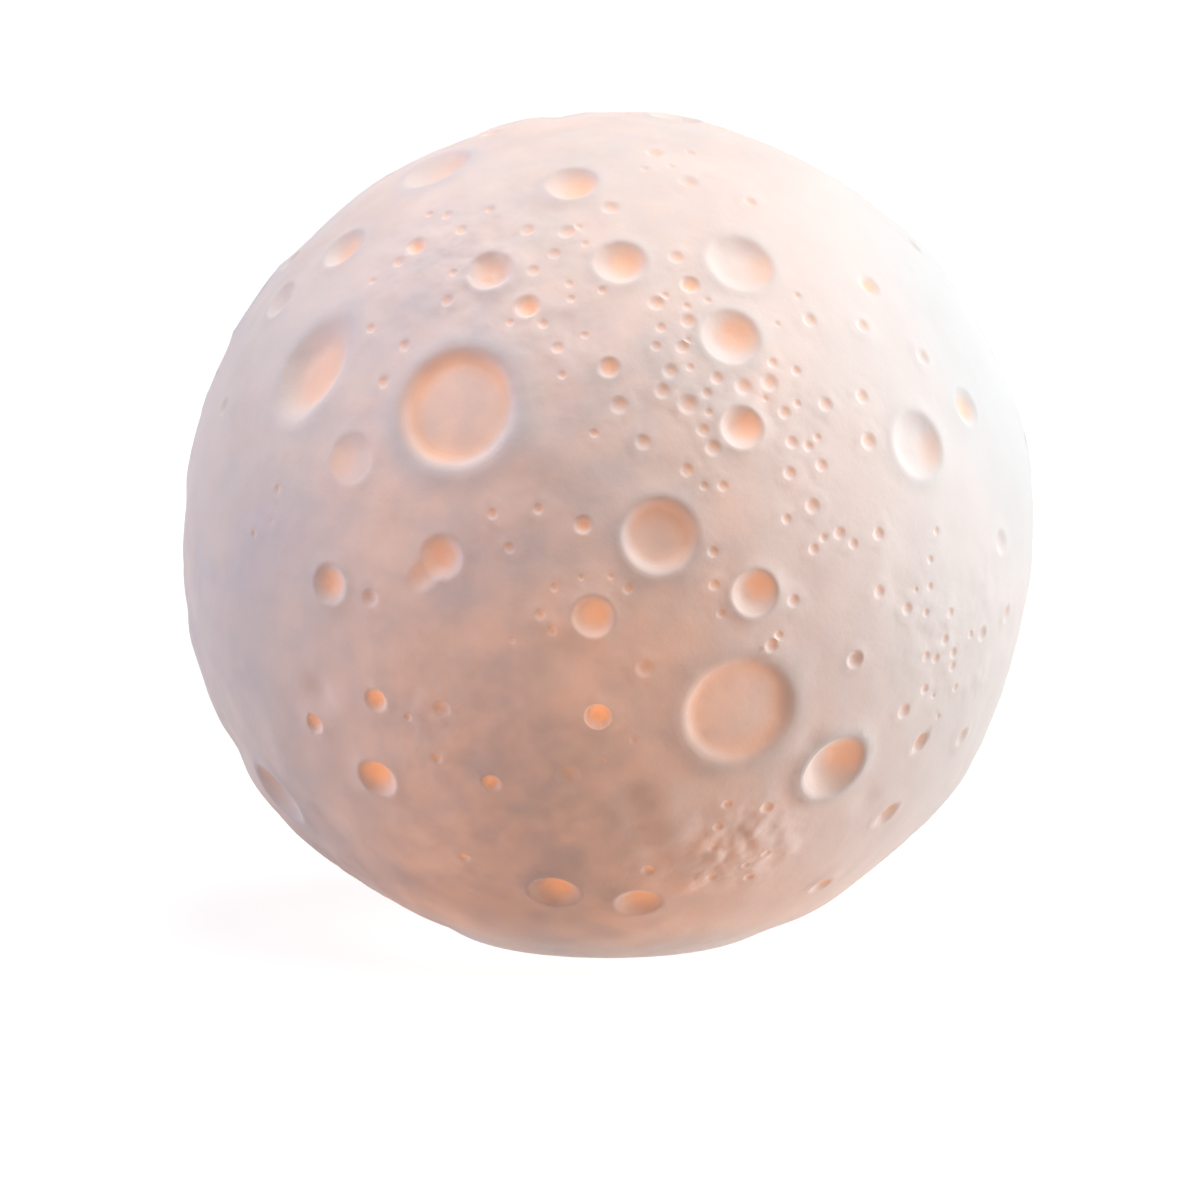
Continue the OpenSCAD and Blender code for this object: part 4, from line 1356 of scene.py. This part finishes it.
# Shrink film with faint wrinkles, open at the ends, and a card washer on the upper one
def wrappedCell():
    made, place = newMaterial("wrappedCell")
    far = axisDistance(place)
    wrinkles = noise(squeezed(place, 0.18), 420.0, 4.0, 0.6, 0.8)
    level = remap(calc("ABSOLUTE", normalUp(made.node_tree)), 0.6, 0.85)
    onEnd = level * calc("LESS_THAN", far, cellValues["endRadius"])
    atTop = calc("GREATER_THAN", split(place)[2], cellValues["washerFrom"])
    washer = calc("GREATER_THAN", far, cellValues["washerRadius"]) * atTop
    end = mixColour(washer, cellValues["can"], cellValues["washer"])
    film = mixColour(remap(wrinkles, 0.35, 0.65), cellValues["film"], cellValues["filmLight"])
    return shade(made, {
        "Base Color": mixColour(onEnd, film, end),
        "Metallic": onEnd * (1.0 - washer),
        "Roughness": midRange(wrinkles, 0.20, 0.36),
        "Normal": bump(wrinkles, 0.05 * mm),
        "Coat Weight": 0.25,
    })


pipeValues = {"colour": (0.86, 0.90, 0.92, 1), "clear": (0.95, 0.97, 0.98, 1)}


# Clear moulded pipe: a faint tint and fine flow lines
def clearPipe():
    made, place = newMaterial("clearPipe")
    flow = noise(squeezed(place, 0.25), 900.0)
    return shade(made, {
        "Base Color": mixColour(flow, pipeValues["colour"], pipeValues["clear"]),
        "Roughness": midRange(flow, 0.04, 0.14),
        "Normal": bump(flow, 0.008 * mm),
        "Transmission Weight": 0.92,
        "IOR": 1.49,
    })


# Heights in metres between which the light falls from the first strength to the second
domeValues = {
    "colour": (0.82, 0.79, 0.73, 1),
    "pale": (0.88, 0.86, 0.82, 1),
    "light": (1.0, 0.70, 0.42, 1),
    "heights": (0.068, 0.086),
    "strengths": (0.34, 0.12),
}


# Milky dome, brighter near the chips
def milkyDome():
    made, place = newMaterial("milkyDome")
    cloud, grain = noise(place, 160.0, 4.0), noise(place, 2600.0)
    strength = remap(split(place)[2], *domeValues["heights"], *domeValues["strengths"])
    return shade(made, {
        "Base Color": mixColour(remap(cloud, 0.35, 0.65), domeValues["colour"], domeValues["pale"]),
        "Roughness": midRange(grain, 0.42, 0.56),
        "Emission Color": domeValues["light"],
        "Emission Strength": strength * midRange(cloud, 0.92, 1.08),
        "Normal": bump(grain, 0.006 * mm),
        "Transmission Weight": 0.2,
    })


finishes = {
    "white_plastic": mouldedPlastic("mouldedWhite"),
    "base_plastic": mouldedPlastic("sparkedBase"),
    "button_plastic": mouldedPlastic("satinButton"),
    "dark_plastic": mouldedPlastic("mouldedBlack"),
    "plug_nylon": mouldedPlastic("plugNylon"),
    "wire_red": mouldedPlastic("redInsulation"),
    "wire_black": mouldedPlastic("blackInsulation"),
    "foot_rubber": softSilicone(),
    "foam": poredSolid("closedFoam"),
    "ferrite": poredSolid("sinteredFerrite"),
    "trim_metal": linedMetal("turnedTrim"),
    "heatsink_aluminium": linedMetal("turnedPlate"),
    "socket_steel": linedMetal("drawnSocket"),
    "nickel_strip": linedMetal("rolledNickel"),
    "screw_steel": platedScrew(),
    "circuit_board": printedBoard("greenBoard"),
    "light_board_white": printedBoard("whiteBoard"),
    "capacitor_ceramic": firedCapacitor(),
    "led_chip": phosphorChip(),
    "cell_wrap": wrappedCell(),
    "clear_plastic": clearPipe(),
    "milky_plastic": milkyDome(),
}
print("finishes", len(finishes))


# Pieces with rounded edges: node, the width of the rounding in millimetres
softPieces = {
    "base_cover": 0.22, "foot_ring": 0.28, "trim_ring": 0.16, "power_button": 0.28, "switch_plunger": 0.2,
    "switch_body": 0.15, "control_board": 0.06, "charge_chip": 0.1, "power_inductor": 0.3,
    "board_capacitors": 0.1, "usb_socket": 0.08, "usb_tongue": 0.1, "indicator_led": 0.08,
    "light_pipe": 0.12, "battery_connector": 0.15, "led_connector": 0.15, "battery_cell": 0.3,
    "battery_pads": 0.3, "battery_tabs": 0.04, "led_heatsink": 0.12, "led_board": 0.06, "led_chips": 0.1,
    "cover_screws": 0.12, "board_screws": 0.1, "tube_screws": 0.1, "led_screws": 0.1,
}
screwNodes = ("cover_screws", "board_screws", "tube_screws", "led_screws")
ownPlaceNodes = ("indicator_led", "led_chips", *screwNodes)
buttonNodes = ("power_button", "switch_plunger")


def plainName(node):
    first, *rest = node.split("_")
    return first + "".join(word.capitalize() for word in rest)


def slotOf(node):
    return cadNodes[node].material_slots[0].material.name.split(".")[0]


# A copy of the solid in which the points that coincide are one and flat areas are one face
def mergedCopy(node):
    work = bmesh.new()
    work.from_mesh(cadNodes[node].data)
    bmesh.ops.remove_doubles(work, verts=work.verts, dist=2e-6)
    bmesh.ops.dissolve_limit(work, angle_limit=math.radians(0.6), verts=work.verts, edges=work.edges)
    for side in work.faces:
        side.smooth = True
    mesh = bpy.data.meshes.new(node + "Base")
    work.to_mesh(mesh)
    work.free()
    return addObject(node + "Base", mesh)


def softPiece(node, width):
    source = mergedCopy(node)
    soft = source.modifiers.new("softEdges", "BEVEL")
    soft.width = width * mm
    soft.segments = 2
    soft.limit_method = "ANGLE"
    soft.angle_limit = math.radians(38)
    normals = source.modifiers.new("faceNormals", "WEIGHTED_NORMAL")
    normals.keep_sharp = True
    mesh = finishedMesh(source, plainName(node))
    bpy.data.objects.remove(source)
    slot = slotOf(node)
    mesh.materials.clear()
    mesh.materials.append(chipMaterial if node == "charge_chip" else finishes[slot])
    if node in ownPlaceNodes:
        markOwnPlace(mesh)
    piece = addObject(plainName(node), mesh)
    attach(piece, "button" if node in buttonNodes else "lamp")
    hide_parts(node)


chipMaterial = chipBody()
for softNode, softWidth in softPieces.items():
    softPiece(softNode, softWidth)
print("pieces with rounded edges", len(softPieces))

for keptNode, keptObject in cadNodes.items():
    if keptNode != "moon_shell" and keptNode not in softPieces:
        keptObject.material_slots[0].material = finishes[slotOf(keptNode)]
print("solids with a new finish", len(cadNodes) - len(softPieces) - 1)


# Stage, camera and lamps, in metres

stageValues = {
    "floorShown": (0.80, 0.80, 0.80, 1),
    "floorLit": (0.26, 0.24, 0.24, 1),
    "floorLift": (0.74, 1.0),
    "floorFade": (0.25, 0.9),
    "floorHalf": 4.0,
    "floorGap": 0.00015,
    "sky": (1.0, 0.97, 0.96, 1),
    "skyStrength": 0.02,
    "white": (1, 1, 1, 1),
    "lampDistance": 0.9,
}

lamps = {
    "keyLamp": {"away": (0.97, 0.05, -0.1), "power": 5.7, "size": 0.7, "colour": (0.93, 0.98, 1.0)},
    "topLamp": {"away": (0.32, 0.08, 0.94), "power": 3.6, "size": 0.9, "colour": (0.95, 0.98, 1.0)},
    "frontLamp": {"away": (0.28, -0.40, 0.87), "power": 3.2, "size": 0.8, "colour": (0.95, 0.98, 1.0)},
    "coolLamp": {"away": (-0.94, 0.0, 0.16), "power": 4.1, "size": 0.8, "colour": (0.79, 0.84, 1.0)},
}

underLamp = {
    "place": (-0.09, -0.19, -0.70),
    "aim": (0.0, 0.0, 0.002),
    "power": 17.0,
    "beam": math.radians(3.9),
    "blend": 0.3,
    "soft": 0.03,
}


# 1 for rays of any of these kinds
def rayMark(tree, *kinds):
    path = tree.nodes.new("ShaderNodeLightPath")
    first, *others = [Signal(path.outputs["Is " + kind + " Ray"]) for kind in kinds]
    for other in others:
        first = calc("MAXIMUM", first, other)
    return first


def shownRay(tree):
    return rayMark(tree, "Camera", "Glossy", "Transmission")


def floorMaterial():
    made, place = newMaterial("paleFloor")
    tree = made.node_tree
    seen = shownRay(tree)
    lift = remap(vectorCalc("LENGTH", place), *stageValues["floorFade"], *stageValues["floorLift"])
    shade(made, {
        "Base Color": mixColour(seen, stageValues["floorLit"], stageValues["floorShown"]),
        "Roughness": 0.9,
        "Specular IOR Level": 0.0,
        "Emission Color": stageValues["white"],
        "Emission Strength": seen * lift,
    })
    # It isn't seen from below and lets lamps that reach under it through, but it shows the object's shadow
    fromBelow = rayMark(tree, "Camera") * output(tree, "ShaderNodeNewGeometry", "Backfacing")
    mixed = output(tree, "ShaderNodeMixShader", 0, {
        0: calc("MAXIMUM", fromBelow, rayMark(tree, "Shadow")),
        1: Signal(tree.nodes["Principled BSDF"].outputs[0]),
        2: output(tree, "ShaderNodeBsdfTransparent", 0),
    })
    plug(mixed, tree.nodes["Material Output"].inputs["Surface"])
    return made


def makeFloor():
    half, low = stageValues["floorHalf"], -stageValues["floorGap"]
    mesh = bpy.data.meshes.new("floor")
    corners = [(-half, -half, low), (half, -half, low), (half, half, low), (-half, half, low)]
    mesh.from_pydata(corners, [], [(0, 1, 2, 3)])
    mesh.materials.append(floorMaterial())
    floor = addObject("floor", mesh)


def makeWorld():
    world = bpy.data.worlds.new("studio")
    bpy.context.scene.world = world
    world.use_nodes = True
    back = world.node_tree.nodes["Background"].inputs
    seen = shownRay(world.node_tree)
    plug(mixColour(seen, stageValues["sky"], stageValues["white"]), back["Color"])
    plug(remap(seen, 0.0, 1.0, stageValues["skyStrength"], 1.0, smooth=False), back["Strength"])


# An object that looks back along a way
def addAimed(name, data, place, away):
    made = addObject(name, data)
    made.location = place
    made.rotation_euler = away.to_track_quat("Z", "Y").to_euler()
    return made


def makeLamp(name, values):
    data = bpy.data.lights.new(name, "AREA")
    data.shape = "DISK"
    data.size = values["size"]
    data.energy = values["power"]
    data.color = values["colour"]
    away = Vector(values["away"]).normalized()
    addAimed(name, data, globeCentre + away * stageValues["lampDistance"], away)


# A narrow beam on the underside, which no view from above sees
def makeUnderLamp():
    data = bpy.data.lights.new("underLamp", "SPOT")
    data.energy = underLamp["power"]
    data.spot_size = underLamp["beam"]
    data.spot_blend = underLamp["blend"]
    data.shadow_soft_size = underLamp["soft"]
    place = Vector(underLamp["place"])
    addAimed("underLamp", data, place, place - Vector(underLamp["aim"]))


def makeCamera():
    data = bpy.data.cameras.new("camera")
    data.lens = view["lensMm"]
    data.sensor_width = view["sensorMm"]
    data.clip_start = 0.05
    data.clip_end = 50.0
    place = globeCentre + Vector(tilted(eyeRight, -view["distanceMm"], eyeUp)) * mm
    bpy.context.scene.camera = addAimed("camera", data, place, Vector(tilted(0, -1, 0)))


makeFloor()
makeWorld()
for lampName, lampValues in lamps.items():
    makeLamp(lampName, lampValues)
makeUnderLamp()
makeCamera()
bpy.context.scene.view_settings.view_transform = "Standard"
print("stage ready")
